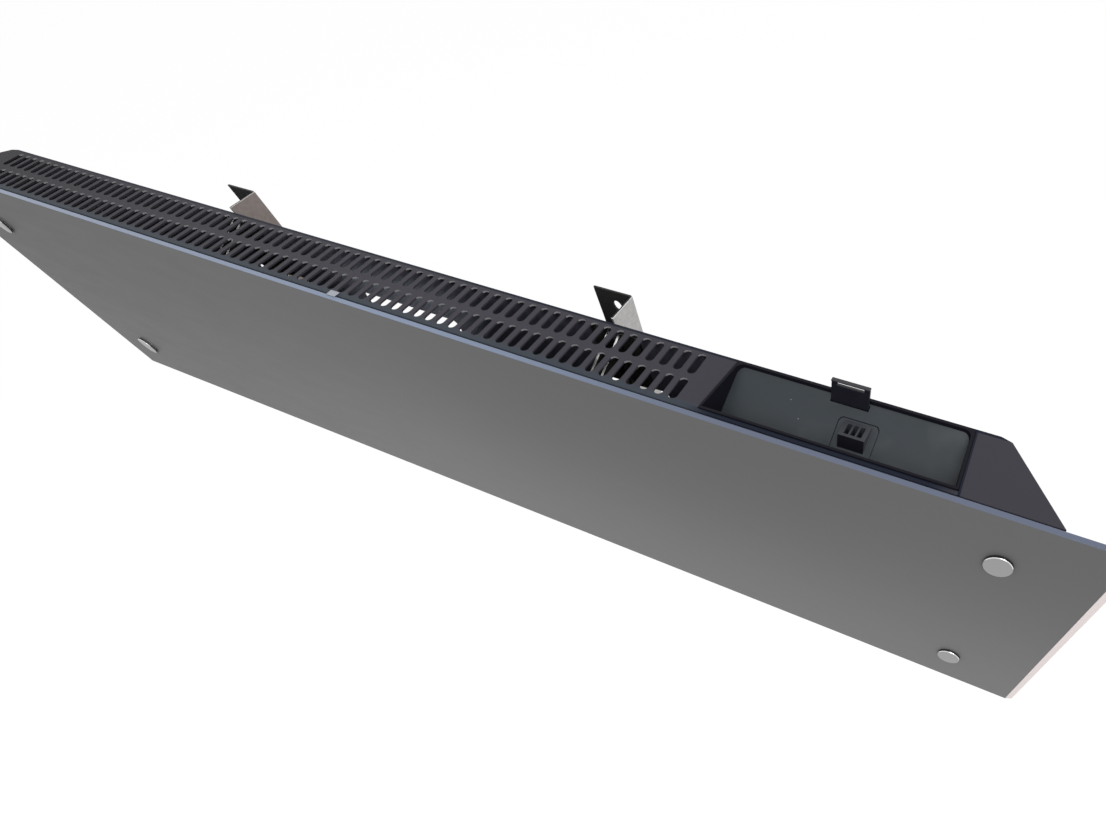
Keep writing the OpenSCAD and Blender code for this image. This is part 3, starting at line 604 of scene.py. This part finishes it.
@dataclass(frozen=True)
class Palette:
    """All finishes of the heater."""

    casing: Finish = PowderCoat("charcoal_coat", (0.046, 0.0435, 0.0545), 0.58, specular=0.12)
    glass: Finish = PaintedGlass("grey_glass", (0.146, 0.146, 0.147), 0.40, specular=0.06)
    # The glass top and bottom edges: a painted bluish reflection, with painted shade towards the
    # bay.
    glass_edge: Finish = GroundGlass(
        "glass_edge", (0.195, 0.245, 0.355), 0.30, specular=0.35, far=(0.116, 0.138, 0.200))
    # The glass's end faces and arrises: a painted reflection of the white room.
    glass_side: Finish = GroundGlass("glass_side", (0.84, 0.75, 0.745), 0.35, specular=0.4)
    glass_arris: Finish = GroundGlass("glass_arris", (0.66, 0.585, 0.58), 0.35, specular=0.4)
    # Painted highlight on the slots' rear cut faces.
    slot_rim_highlight: Finish = DrawnMetal("slot_rim_highlight", (0.27, 0.27, 0.285), 0.45, specular=0.4)
    # The inner sheet carries painted light near the hand window.
    inner_sheet: Finish = InnerSheet("inner_sheet", (0.050, 0.051, 0.068), 0.5, specular=0.26)
    zinc: Finish = ZincPlate("zinc_sheet", (0.60, 0.58, 0.55), 0.36, 1.0)
    # Lit and shaded copies of zinc: painted light on the right bracket's web, painted shade on the
    # left's.
    zinc_lit_web: Finish = ZincPlate("zinc_lit_web", (0.44, 0.43, 0.425), 0.36, 1.0)
    zinc_shaded_web: Finish = ZincPlate("zinc_shaded_web", (0.215, 0.185, 0.175), 0.42, 1.0)
    zinc_shade: Finish = ZincPlate("zinc_shade", (0.024, 0.023, 0.022), 0.5, 0.3, specular=0.2)
    # Painted highlight on the bright edges of the brackets and hangers.
    zinc_edge_highlight: Finish = DrawnMetal("zinc_edge_highlight", (0.85, 0.85, 0.84), 0.3, 1.0)
    zinc_small: Finish = ZincPlate("zinc_fastener", (0.62, 0.62, 0.62), 0.30, 1.0, spangle=2200.0)
    cap: Finish = TurnedSteel("cap_steel", (0.34, 0.335, 0.34), 0.36, 1.0)
    # Painted highlight on the caps' upper rim, painted shade on their sides.
    cap_rim_highlight: Finish = DrawnMetal("cap_rim_highlight", (0.93, 0.93, 0.94), 0.18, 1.0)
    cap_side_shade: Finish = DrawnMetal("cap_side_shade", (0.10, 0.10, 0.105), 0.35, 1.0)
    clip: Finish = DrawnMetal("clip_steel", (0.38, 0.40, 0.45), 0.35, 1.0)
    pin: Finish = DrawnMetal("pin_steel", (0.60, 0.60, 0.61), 0.30, 1.0)
    rod: Finish = DrawnMetal("rod_sheath", (0.30, 0.27, 0.25), 0.45, 1.0, stain=0.7)
    aluminium: Finish = DrawnMetal("fin_aluminium", (0.62, 0.63, 0.64), 0.38, 1.0)
    tray: Finish = MouldedPlastic(
        "tray_gloss", (0.030, 0.037, 0.043), 0.42, specular=0.29, dust=1.0)
    tray_rim: Finish = MouldedPlastic("tray_rim", (0.006, 0.006, 0.010), 0.55, specular=0.10)
    latch: Finish = MouldedPlastic("latch_black", (0.012, 0.012, 0.018), 0.32, relief=0.2)
    socket: Finish = MouldedPlastic(
        "socket_grey", (0.036, 0.038, 0.046), 0.42, specular=0.35, relief=0.3, dust=0.4)
    gland: Finish = MouldedPlastic("gland_black", (0.02, 0.02, 0.02), 0.45, relief=0.3)
    nylon: Finish = MouldedPlastic("natural_nylon", (0.78, 0.77, 0.72), 0.42, relief=0.15)
    foam: Finish = SoftFoam("black_foam", (0.022, 0.022, 0.022), 0.85)
    brass: Finish = DrawnMetal("contact_metal", (0.30, 0.24, 0.14), 0.35, 1.0)
    ceramic: Finish = FiredClay("fired_ceramic", (0.74, 0.69, 0.60), 0.80)
    brown: Finish = WireSleeve("brown_wire", (0.14, 0.055, 0.03), 0.35)
    blue: Finish = WireSleeve("blue_wire", (0.03, 0.10, 0.42), 0.35)
    green: Finish = WireSleeve("earth_wire", (0.06, 0.30, 0.06), 0.35, stripe=(0.72, 0.62, 0.05))


EdgeTest = Callable[[bmesh.types.BMEdge], bool]


def merged_copy(node: str) -> bmesh.types.BMesh:
    """Copies a CAD node's triangles and joins them into closed solids with flat faces.

    Args:
        node: The CAD node's name.

    Returns:
        The joined mesh.
    """
    mesh = bmesh.new()
    mesh.from_mesh(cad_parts[node].data)
    bmesh.ops.remove_doubles(mesh, verts=mesh.verts[:], dist=JOIN)
    flat = math.radians(0.4)
    bmesh.ops.dissolve_limit(mesh, angle_limit=flat, verts=mesh.verts[:], edges=mesh.edges[:])
    mesh.normal_update()
    return mesh


def sharp(edge: bmesh.types.BMEdge, degrees: float = 35.0) -> bool:
    """Whether two faces meet at the edge at more than an angle."""
    return len(edge.link_faces) == 2 and edge.calc_face_angle(0.0) > math.radians(degrees)


def creased(edge: bmesh.types.BMEdge) -> bool:
    """Whether an edge is sharp and no part of a rounded corner."""
    return sharp(edge, 50.0)


def soften(mesh: bmesh.types.BMesh, width: float, segments: int, test: EdgeTest = sharp) -> None:
    """Bevels the edges that pass a test.

    Args:
        mesh: The mesh to change.
        width: Width of the bevel in metres.
        segments: Number of strips.
        test: Which edges are bevelled.
    """
    edges = [edge for edge in mesh.edges if test(edge)]
    bmesh.ops.bevel(
        mesh, geom=edges, offset=width, offset_type="OFFSET", segments=segments, profile=0.5,
        affect="EDGES", material=-1, clamp_overlap=True,
    )
    mesh.normal_update()


def upright(edge: bmesh.types.BMEdge) -> bool:
    """Whether an edge stands along Z."""
    return abs((edge.verts[0].co - edge.verts[1].co).normalized().z) > 0.99


def upright_at(edge: bmesh.types.BMEdge, x: float, y: float) -> bool:
    """Whether an edge stands at a place, on either side of the heater's middle."""
    return upright(edge) and all(
        abs(abs(vert.co.x) - abs(x)) < TOUCH and abs(vert.co.y - y) < TOUCH for vert in edge.verts
    )


def spun(profile: Sequence[Pair], middle: Vector, steps: int) -> bmesh.types.BMesh:
    """Turns a profile about an axis along Y.

    Args:
        profile: Points of radius and distance towards the room, in metres.
        middle: Point that the axis goes through.
        steps: Number of steps around.

    Returns:
        The closed turned shape.
    """
    mesh = bmesh.new()
    verts = [mesh.verts.new(middle + Vector((radius, -out, 0.0))) for radius, out in profile]
    edges = [mesh.edges.new(pair) for pair in zip(verts, verts[1:])]
    bmesh.ops.spin(
        mesh, geom=verts + edges, cent=middle, axis=(0.0, 1.0, 0.0), dvec=(0.0, 0.0, 0.0),
        angle=math.tau, steps=steps, use_merge=True, use_duplicate=False,
    )
    bmesh.ops.remove_doubles(mesh, verts=mesh.verts[:], dist=JOIN / 2)
    bmesh.ops.recalc_face_normals(mesh, faces=mesh.faces[:])
    return mesh


def settled(mesh: bmesh.types.BMesh, name: str) -> bpy.types.Mesh:
    """Turns a finished mesh into data that an object can carry.

    Args:
        mesh: The mesh, which is freed.
        name: The data's name.

    Returns:
        The data.
    """
    data = bpy.data.meshes.new(name)
    mesh.to_mesh(data)
    mesh.free()
    return data


def placed(name: str, data: bpy.types.ID) -> bpy.types.Object:
    """Puts a mesh, lamp or camera into the scene.

    Args:
        name: The object's name.
        data: What the object carries.

    Returns:
        The object.
    """
    obj = bpy.data.objects.new(name, data)
    bpy.context.scene.collection.objects.link(obj)
    return obj


def poured(meshes: Iterable[bmesh.types.BMesh]) -> bmesh.types.BMesh:
    """Puts several meshes into one.

    Args:
        meshes: The meshes, which are freed.

    Returns:
        The joined mesh.
    """
    whole = bmesh.new()
    for mesh in meshes:
        data = settled(mesh, "part")
        whole.from_mesh(data)
        bpy.data.meshes.remove(data)
    return whole


@dataclass
class Assembly:
    """What every sub-assembly shares: the finishes and the body that it rides on."""

    palette: Palette
    body: Body = Body.HEATER

    def piece(self, mesh: bmesh.types.BMesh, name: str, finishes: Sequence[Finish], slot: Slot,
              stands_for: Sequence[str], smooth: float = 12.0) -> None:
        """Makes an object of a mesh and sets what it rides on.

        Args:
            mesh: The finished mesh, which is freed.
            name: The piece's name.
            finishes: Its finishes, by material index.
            slot: The record's slot; not used.
            stands_for: The CAD nodes that it replaces.
            smooth: Angle in degrees under which faces shade smoothly.
        """
        data = settled(mesh, name)
        data.polygons.foreach_set("use_smooth", [True] * len(data.polygons))
        data.set_sharp_from_angle(angle=math.radians(smooth))
        for finish in finishes:
            data.materials.append(finish.material())
        obj = placed(name, data)
        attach(obj, self.body.value)
        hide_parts(*stands_for)
        log.info("%s: %d faces, stands for %s", name, len(data.polygons), ", ".join(stands_for))

    def keep(self, node: str, finish: Finish) -> None:
        """Gives a CAD node its finish.

        Args:
            node: The CAD node's name.
            finish: Its finish.
        """
        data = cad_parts[node].data
        data.materials.clear()
        data.materials.append(finish.material())
        log.info("%s: kept with %s", node, finish.name)

    def softened(self, node: str, name: str, finish: Finish, slot: Slot, width: float,
                 segments: int = 2) -> None:
        """Replaces a CAD node by a copy with soft edges.

        Args:
            node: The CAD node's name.
            name: The piece's name.
            finish: Its finish.
            slot: The record's slot.
            width: Width of the soft edges in metres.
            segments: Number of strips across them.
        """
        mesh = merged_copy(node)
        soften(mesh, width, segments)
        self.piece(mesh, name, (finish,), slot, (node,))


@dataclass
class GlassFront(Assembly):
    """The glass, its disc caps and what holds it."""

    arris: float = 0.5 * MM
    end_arris: float = 1.4 * MM
    cap_radius: float = 8.5 * MM
    cap_height: float = 2.0 * MM
    cap_edge: float = 0.55 * MM
    cap_foot: float = 0.3 * MM

    def build(self) -> None:
        """Builds the glass, the caps and the small fixings."""
        self.glass()
        self.caps()
        self.softened("glass_top_clip", "top_clip", self.palette.clip, Slot.SATIN, 0.12 * MM, 1)
        self.softened("stud_nuts", "back_nuts", self.palette.zinc_small, Slot.ZINC, 0.4 * MM, 1)
        self.keep("cap_bushes", self.palette.nylon)
        self.keep("glass_studs", self.palette.zinc_small)
        self.keep("glass_pads", self.palette.foam)

    def glass(self) -> None:
        """Builds the glass with ground arrises, wider at both ends, and edge finishes that carry
        painted reflections.
        """
        mesh = merged_copy("glass_panel")
        low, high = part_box("glass_panel")
        soften(mesh, self.end_arris, 1, lambda edge: upright_at(edge, high.x, low.y))
        soften(mesh, self.arris, 2, creased)
        # Top and bottom edges take the painted bluish reflection; end faces and arrises the painted
        # white reflection.
        for face in mesh.faces:
            normal = face.normal
            if abs(normal.x) > 0.25:
                face.material_index = 2 if abs(normal.x) > 0.95 else 3
            elif abs(normal.z) > 0.6:
                face.material_index = 1
        p = self.palette
        finishes = (p.glass, p.glass_edge, p.glass_side, p.glass_arris)
        self.piece(mesh, "front_glass", finishes, Slot.GLASS, ("glass_panel",))

    def cap_profile(self) -> list[Pair]:
        """Draws a cap's profile: a flat face, a rounded rim and a small bevel at the foot.

        Returns:
            Points of radius and height.
        """
        rim, height, edge, foot = self.cap_radius, self.cap_height, self.cap_edge, self.cap_foot
        arc = [
            (rim - edge * (1 - math.cos(turn)), height - edge * (1 - math.sin(turn)))
            for turn in (math.radians(step) for step in (0, 22.5, 45, 67.5, 90))
        ]
        return [(0.0, 0.0), (rim - foot, 0.0), (rim, foot), *arc, (rim / 2, height), (0.0, height)]

    def caps(self) -> None:
        """Turns the four disc caps, with a painted highlight on the upper rim and painted shade on
        the side.
        """
        low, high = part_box("disc_caps")
        radius = self.cap_radius
        places = [
            Vector((x, high.y, z))
            for x in (low.x + radius, high.x - radius)
            for z in (low.z + radius, high.z - radius)
        ]
        mesh = poured(spun(self.cap_profile(), place, 64) for place in places)
        mesh.normal_update()
        # Side faces take painted shade, upward rim faces a painted highlight.
        for face in mesh.faces:
            normal = face.normal
            if abs(normal.y) < 0.15:
                face.material_index = 2
            elif normal.y > -0.9 and normal.z > 0.2:
                face.material_index = 1
        p = self.palette
        self.piece(mesh, "turned_caps", (p.cap, p.cap_rim_highlight, p.cap_side_shade), Slot.SATIN, ("disc_caps",))


@dataclass
class Casing(Assembly):
    """The folded casing, its plates and the screws that hold them."""

    fold: float = 0.7 * MM
    rim: float = 0.22 * MM
    half_sheet: float = 0.5 * MM
    head_radius: float = 3.5 * MM
    head_height: float = 2.2 * MM
    head_shape: tuple[Pair, ...] = (
        (0.0, 0.0), (1.0, 0.0), (1.0, 0.35), (0.92, 0.68), (0.72, 0.90), (0.4, 0.99), (0.0, 1.0))
    cross: Pair = (0.62, 0.16)
    recess: float = 1.1 * MM
    shank_radius: float = 1.8 * MM
    shank_tip: float = 0.4 * MM
    screw_count: int = 11
    end_start: float = 0.4
    corner_start: float = 0.449
    slots_end: float = 0.275
    slot_rows: Pair = (-70.0 * MM, -26.0 * MM)
    cut_depth: Pair = (0.9 * MM, 0.02 * MM)

    def build(self) -> None:
        """Builds the shell, the plates and their fasteners."""
        self.shell()
        self.rear()
        self.softened("bottom_grille", "inlet_grille", self.palette.casing, Slot.CASING, self.rim)
        self.softened("front_plate", "glass_carrier", self.palette.casing, Slot.CASING, self.rim)
        self.screws("rear_screws", "back_screws", self.screw_count)
        self.keep("bottom_screws", self.palette.zinc_small)
        self.keep("front_rivets", self.palette.zinc_small)

    def rear(self) -> None:
        """Builds the rear panel with its own finish on the inner side."""
        mesh = merged_copy("rear_panel")
        soften(mesh, self.rim, 2)
        for face in mesh.faces:
            # The inner side takes the finish with painted light near the window.
            face.material_index = 1 if face.normal.y < -0.9 else 0
        finishes = (self.palette.casing, self.palette.inner_sheet)
        self.piece(mesh, "back_panel", finishes, Slot.CASING, ("rear_panel",))

    def shell(self) -> None:
        """Builds the folded shell with a fold radius outside and soft slot rims, which take a
        painted highlight at the slots' rear ends.
        """
        mesh = merged_copy("casing_wrap")
        low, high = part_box("casing_wrap")
        rear = high.y - self.half_sheet
        front = low.y + self.half_sheet

        def outline(edge: bmesh.types.BMEdge) -> bool:
            """Whether an edge is a fold around the top or at a rear corner."""
            if not sharp(edge, 15.0):
                return False
            ends = [vert.co for vert in edge.verts]
            if upright(edge):
                return all(abs(end.x) > self.end_start for end in ends) and ends[0].y > front
            at_top = all(abs(end.z - high.z) < TOUCH for end in ends)
            return at_top and all(abs(end.x) > self.corner_start or end.y > rear for end in ends)

        soften(mesh, self.fold, 3, outline)
        soften(mesh, self.rim, 2, creased)
        first, last = self.slot_rows
        deep, shallow = self.cut_depth
        # Painted highlight: the room-facing faces just under the top, at the slots' rear ends in
        # the slot rows.
        for face in mesh.faces:
            spot = face.calc_center_median()
            in_rows = spot.x < self.slots_end and first < spot.y < last
            if in_rows and high.z - deep < spot.z < high.z - shallow and face.normal.y < -0.3:
                face.material_index = 1
        finishes = (self.palette.casing, self.palette.slot_rim_highlight)
        self.piece(mesh, "casing_shell", finishes, Slot.CASING, ("casing_wrap",))

    def screw_head(self) -> bpy.types.Mesh:
        """Builds a pan head with a cross recess, its seat at the origin and its top towards +Y.

        Returns:
            The head's mesh.
        """
        radius, height = self.head_radius, self.head_height
        profile = [(radius * share, -height * rise) for share, rise in self.head_shape]
        head = spun(profile, Vector((0.0, 0.0, 0.0)), 32)
        cutter = bmesh.new()
        for wide, tall in (self.cross, self.cross[::-1]):
            box = bmesh.ops.create_cube(cutter, size=1.0)["verts"]
            size = (2 * radius * wide, 2 * self.recess, 2 * radius * tall)
            bmesh.ops.scale(cutter, vec=size, verts=box)
            bmesh.ops.translate(cutter, vec=(0.0, height, 0.0), verts=box)
        body = placed("head", settled(head, "head"))
        tool = placed("cross", settled(cutter, "cross"))
        cut = body.modifiers.new("recess", "BOOLEAN")
        cut.object, cut.operation, cut.solver = tool, "DIFFERENCE", "EXACT"
        cut.use_self = True
        graph = bpy.context.evaluated_depsgraph_get()
        result = bpy.data.meshes.new_from_object(body.evaluated_get(graph))
        for obj in (body, tool):
            bpy.data.objects.remove(obj)
        return result

    def screws(self, node: str, name: str, count: int) -> None:
        """Puts pan heads with shanks where the CAD node's screws are.

        Args:
            node: The CAD node with the screws.
            name: The piece's name.
            count: How many screws it has.
        """
        islands = self.islands(node)
        head = self.screw_head()
        radius = self.shank_radius
        parts = []
        for low, high in islands:
            middle = (low + high) / 2
            seat = Vector((middle.x, high.y - self.head_height, middle.z))
            top = bmesh.new()
            top.from_mesh(head)
            place = Matrix.Translation(seat) @ Matrix.Rotation(middle.x * 40.0, 4, "Y")
            bmesh.ops.transform(top, matrix=place, verts=top.verts[:])
            length = seat.y - low.y
            tip = [(radius, length - self.shank_tip), (radius * 0.7, length), (0.0, length)]
            parts += [top, spun([(0.0, 0.0), (radius, 0.0), *tip], seat, 24)]
        bpy.data.meshes.remove(head)
        if len(islands) != count:
            log.warning("%s has %d screws, not %d", node, len(islands), count)
        self.piece(poured(parts), name, (self.palette.zinc_small,), Slot.ZINC, (node,), 24.0)

    @staticmethod
    def islands(node: str) -> list[tuple[Vector, Vector]]:
        """Finds the separate solids of a CAD node.

        Args:
            node: The CAD node's name.

        Returns:
            The lowest and highest corner of each, in order of place.
        """
        mesh = merged_copy(node)
        left, boxes = set(mesh.verts), []
        while left:
            stack, seen = [left.pop()], []
            while stack:
                vert = stack.pop()
                seen.append(vert.co.copy())
                for edge in vert.link_edges:
                    other = edge.other_vert(vert)
                    if other in left:
                        left.remove(other)
                        stack.append(other)
            boxes.append((Vector(map(min, zip(*seen))), Vector(map(max, zip(*seen)))))
        mesh.free()
        return sorted(boxes, key=lambda box: box[0][:])


@dataclass
class ControlBay(Assembly):
    """The tray of the control bay with its socket and latch."""

    inner_corner: float = 4.5 * MM
    outer_corner: float = 1.2 * MM
    soft: float = 0.35 * MM
    corner_x: float = 66.0 * MM
    corner_y: float = 12.0 * MM
    plate_area: float = 40.0 * MM * MM

    def build(self) -> None:
        """Builds the tray, the socket and the latch."""
        self.tray()
        self.socket()
        self.keep("socket_contacts", self.palette.brass)
        latch = ControlBay(self.palette, Body.LATCH)
        latch.softened("latch_tab", "bay_latch", self.palette.latch, Slot.BLACK, 0.25 * MM)

    def socket(self) -> None:
        """Builds the socket block, with painted shade on its front faces, on a plate that looks
        like the tray's floor.
        """
        mesh = merged_copy("control_socket")
        soften(mesh, 0.3 * MM, 2)
        for face in mesh.faces:
            if face.calc_area() <= self.plate_area:
                continue
            # Painted shade: large front faces take the near-black latch finish.
            if face.normal.y < -0.7:
                face.material_index = 2
            elif 0.3 < face.normal.z < 0.95:
                face.material_index = 1
        finishes = (self.palette.socket, self.palette.tray, self.palette.latch)
        self.piece(mesh, "bay_socket", finishes, Slot.GREY, ("control_socket",))

    def tray(self) -> None:
        """Builds the tray with round corners inside and a floor of its own finish."""
        mesh = merged_copy("control_tray")
        low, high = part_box("control_tray")
        middle = (low + high) / 2

        def corner(edge: bmesh.types.BMEdge, inside: bool) -> bool:
            """Whether an edge is an upright corner of the tray's inner or outer wall."""
            if not upright(edge) or not sharp(edge):
                return False
            place = (edge.verts[0].co + edge.verts[1].co) / 2
            top = max(vert.co.z for vert in edge.verts)
            far = abs(place.x - middle.x) > self.corner_x
            behind = not inside or place.y - middle.y > self.corner_y
            outward = edge.link_faces[0].normal + edge.link_faces[1].normal
            hollow = outward.dot(middle - place) > 0
            return far and behind and top > high.z - 0.1 * MM and hollow == inside

        soften(mesh, self.inner_corner, 5, lambda edge: corner(edge, True))
        soften(mesh, self.outer_corner, 3, lambda edge: corner(edge, False))
        soften(mesh, self.soft, 2)
        for face in mesh.faces:
            sloping = 0.8 < face.normal.z < 0.9 and abs(face.normal.x) < 0.05
            face.material_index = 0 if sloping else 1
        finishes = (self.palette.tray, self.palette.tray_rim)
        self.piece(mesh, "bay_tray", finishes, Slot.BLACK, ("control_tray",))


@dataclass
class WallBrackets(Assembly):
    """The two brackets on the wall."""

    body: Body = Body.BRACKETS
    bend: float = 1.6 * MM
    sheared: float = 0.18 * MM
    web_reach: float = 2.6 * MM

    def build(self) -> None:
        """Builds both brackets."""
        for side in ("left", "right"):
            self.bracket(side)

    def bracket(self, side: str) -> None:
        """Builds one bracket with its bend radius, soft sheared edges, painted shade on the
        flange's room side and painted highlights on the web's edges.

        Args:
            side: Left or right.
        """
        node = f"wall_bracket_{side}"
        mesh = merged_copy(node)
        _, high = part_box(node)
        soften(mesh, self.bend, 4, lambda edge: upright_at(edge, high.x, high.y))
        soften(mesh, self.sheared, 1, creased)
        # The flange's room side takes painted shade, its wall side plain zinc; the web's edges take
        # a painted highlight.
        for face in mesh.faces:
            middle, normal = face.calc_center_median(), face.normal
            if middle.x < high.x - self.web_reach:
                face.material_index = 1 if normal.y < 0.5 else 3
            elif abs(normal.z) > 0.4 or normal.y < -0.4:
                face.material_index = 2
        # Painted light: the right web takes the lit copy of zinc, the left web the shaded copy.
        web = self.palette.zinc_lit_web if side == "right" else self.palette.zinc_shaded_web
        finishes = (web, self.palette.zinc_shade, self.palette.zinc_edge_highlight, self.palette.zinc)
        self.piece(mesh, f"bracket_{side}", finishes, Slot.ZINC, (node,))


@dataclass
class WarmSide(Assembly):
    """The hangers, the heating element and the sheets around it."""

    cut_edge_z: float = 44.0 * MM

    def build(self) -> None:
        """Builds the inner sheets and finishes the element."""
        p = self.palette
        for side in ("left", "right"):
            self.hanger(side)
        self.softened("element_fins", "finned_element", p.aluminium, Slot.ALUMINIUM, 0.25 * MM, 1)
        self.softened("partition_plate", "partition", p.zinc, Slot.ZINC, 0.15 * MM, 1)
        self.softened("element_support", "support", p.zinc, Slot.ZINC, 0.15 * MM, 1)
        self.keep("heat_shield", p.aluminium)
        self.keep("hook_pins", p.pin)
        self.keep("rear_buffers", p.foam)
        self.keep("element_rod", p.rod)
        self.keep("element_bushes", p.ceramic)

    def hanger(self, side: str) -> None:
        """Builds one hanger in painted shade, with a painted highlight on its top cut edges.

        Args:
            side: Left or right.
        """
        node = f"hanger_bracket_{side}"
        mesh = merged_copy(node)
        soften(mesh, 0.2 * MM, 1)
        # Painted shade on the whole hanger, painted highlight on the upward faces of its top edges.
        for face in mesh.faces:
            if face.normal.z > 0.6 and face.calc_center_median().z > self.cut_edge_z:
                face.material_index = 1
        finishes = (self.palette.zinc_shade, self.palette.zinc_edge_highlight)
        self.piece(mesh, f"hanger_{side}", finishes, Slot.ZINC, (node,))


@dataclass
class Connections(Assembly):
    """The electrical parts behind the bay."""

    def build(self) -> None:
        """Finishes the terminal block, the gland and the wires."""
        p = self.palette
        self.softened("terminal_block", "terminals", p.nylon, Slot.NYLON, 0.5 * MM)
        self.softened("cable_gland", "cord_gland", p.gland, Slot.BLACK, 0.4 * MM)
        self.keep("thermal_cutout", p.gland)
        self.keep("earth_screw", p.brass)
        self.keep("wire_live", p.brown)
        self.keep("wire_neutral", p.blue)
        self.keep("wire_earth", p.green)


@dataclass
class Studio:
    """Floor, light and camera."""

    floor_z: float = -0.30
    floor_reach: float = 8.0
    floor_tone: Colour = (0.86, 0.86, 0.86)
    floor_glow: float = 1.05
    glow_share: float = 0.88
    world_light: float = 0.57
    lens: float = 17.7997
    shift: Pair = (-0.21363, 0.20402)
    eye: Triple = (0.449995, -0.277052, 0.299009)
    turn: tuple[float, float, float, float] = (0.95309928, 0.20853301, 0.06805141, 0.20852999)
    sensor: float = 36.0
    clip: Pair = (0.01, 60.0)
    lamps: tuple[tuple[str, Triple, Triple, float, float], ...] = (
        ("key_light", (1.0, -1.6, 1.7), (0.3, 0.0, -0.03), 1.5, 32.0),
        ("side_light", (2.2, 0.6, 1.2), (0.1, 0.0, 0.0), 1.4, 12.0),
    )

    def build(self) -> None:
        """Builds the floor, the world, the lamps and the camera."""
        self.floor()
        self.world()
        for lamp in self.lamps:
            self.lamp(*lamp)
        self.camera()

    @staticmethod
    def seen(bench: NodeBench) -> Term:
        """Marks where the camera, a gloss or a glass ray looks.

        Args:
            bench: The nodes that need the mark.

        Returns:
            One there, else zero.
        """
        path = bench.add("ShaderNodeLightPath")
        rays = ("Camera", "Glossy", "Transmission")
        camera, gloss, glass = (Term(bench, path.outputs[f"Is {ray} Ray"]) for ray in rays)
        return camera.larger(gloss).larger(glass)

    def floor(self) -> None:
        """Lays a pale floor that shows white and keeps a soft shadow."""
        mesh = bmesh.new()
        bmesh.ops.create_grid(mesh, x_segments=1, y_segments=1, size=self.floor_reach)
        bmesh.ops.translate(mesh, vec=(0.0, 0.0, self.floor_z), verts=mesh.verts[:])
        material = bpy.data.materials.new("pale_floor")
        bench = NodeBench(material)
        bench.tree.nodes.clear()
        diffuse = bench.add("ShaderNodeBsdfDiffuse", inputs={"Color": (*self.floor_tone, 1.0)})
        glow = bench.add("ShaderNodeEmission", inputs={"Strength": self.floor_glow})
        layers = {0: self.seen(bench) * self.glow_share, 1: diffuse.outputs[0], 2: glow.outputs[0]}
        mix = bench.add("ShaderNodeMixShader", inputs=layers)
        bench.add("ShaderNodeOutputMaterial", inputs={"Surface": mix.outputs[0]})
        floor = placed("studio_floor", settled(mesh, "studio_floor"))
        floor.data.materials.append(material)
        log.info("studio_floor at %.2f m", self.floor_z)

    def world(self) -> None:
        """Lights the scene evenly and shows white to the camera and to gloss."""
        world = bpy.data.worlds.new("studio_world")
        bpy.context.scene.world = world
        bench = NodeBench(world)
        inputs = bench.tree.nodes["Background"].inputs
        inputs["Color"].default_value = (1.0, 1.0, 1.0, 1.0)
        strength = self.seen(bench) * (1.0 - self.world_light) + self.world_light
        bench.join(strength, inputs["Strength"])

    def lamp(self, name: str, place: Triple, aim: Triple, size: float, power: float) -> None:
        """Hangs one square soft lamp.

        Args:
            name: The lamp's name.
            place: Where it hangs.
            aim: Point that it faces.
            size: Side of the square in metres.
            power: Power in watts.
        """
        data = bpy.data.lights.new(name, "AREA")
        data.shape = "SQUARE"
        data.size = size
        data.energy = power
        obj = placed(name, data)
        obj.location = place
        obj.rotation_euler = (Vector(aim) - Vector(place)).to_track_quat("-Z", "Y").to_euler()

    def camera(self) -> None:
        """Sets the camera that was fitted to the photograph."""
        data = bpy.data.cameras.new("photo_camera")
        data.sensor_fit = "HORIZONTAL"
        data.sensor_width = self.sensor
        data.lens = self.lens
        data.shift_x, data.shift_y = self.shift
        data.clip_start, data.clip_end = self.clip
        obj = placed("photo_camera", data)
        obj.rotation_mode = "QUATERNION"
        obj.rotation_quaternion = Quaternion(self.turn)
        obj.location = self.eye
        bpy.context.scene.camera = obj
        log.info("photo_camera at %s", tuple(round(v, 3) for v in self.eye))


def main() -> None:
    logging.basicConfig(level=logging.INFO, format="%(name)s %(message)s")
    bpy.context.scene.view_settings.view_transform = "Standard"
    palette = Palette()
    Studio().build()
    for kind in (GlassFront, Casing, ControlBay, WallBrackets, WarmSide, Connections):
        kind(palette).build()
        log.info("built %s", kind.__name__)
    bpy.context.view_layer.update()


if __name__ == "__main__":
    main()
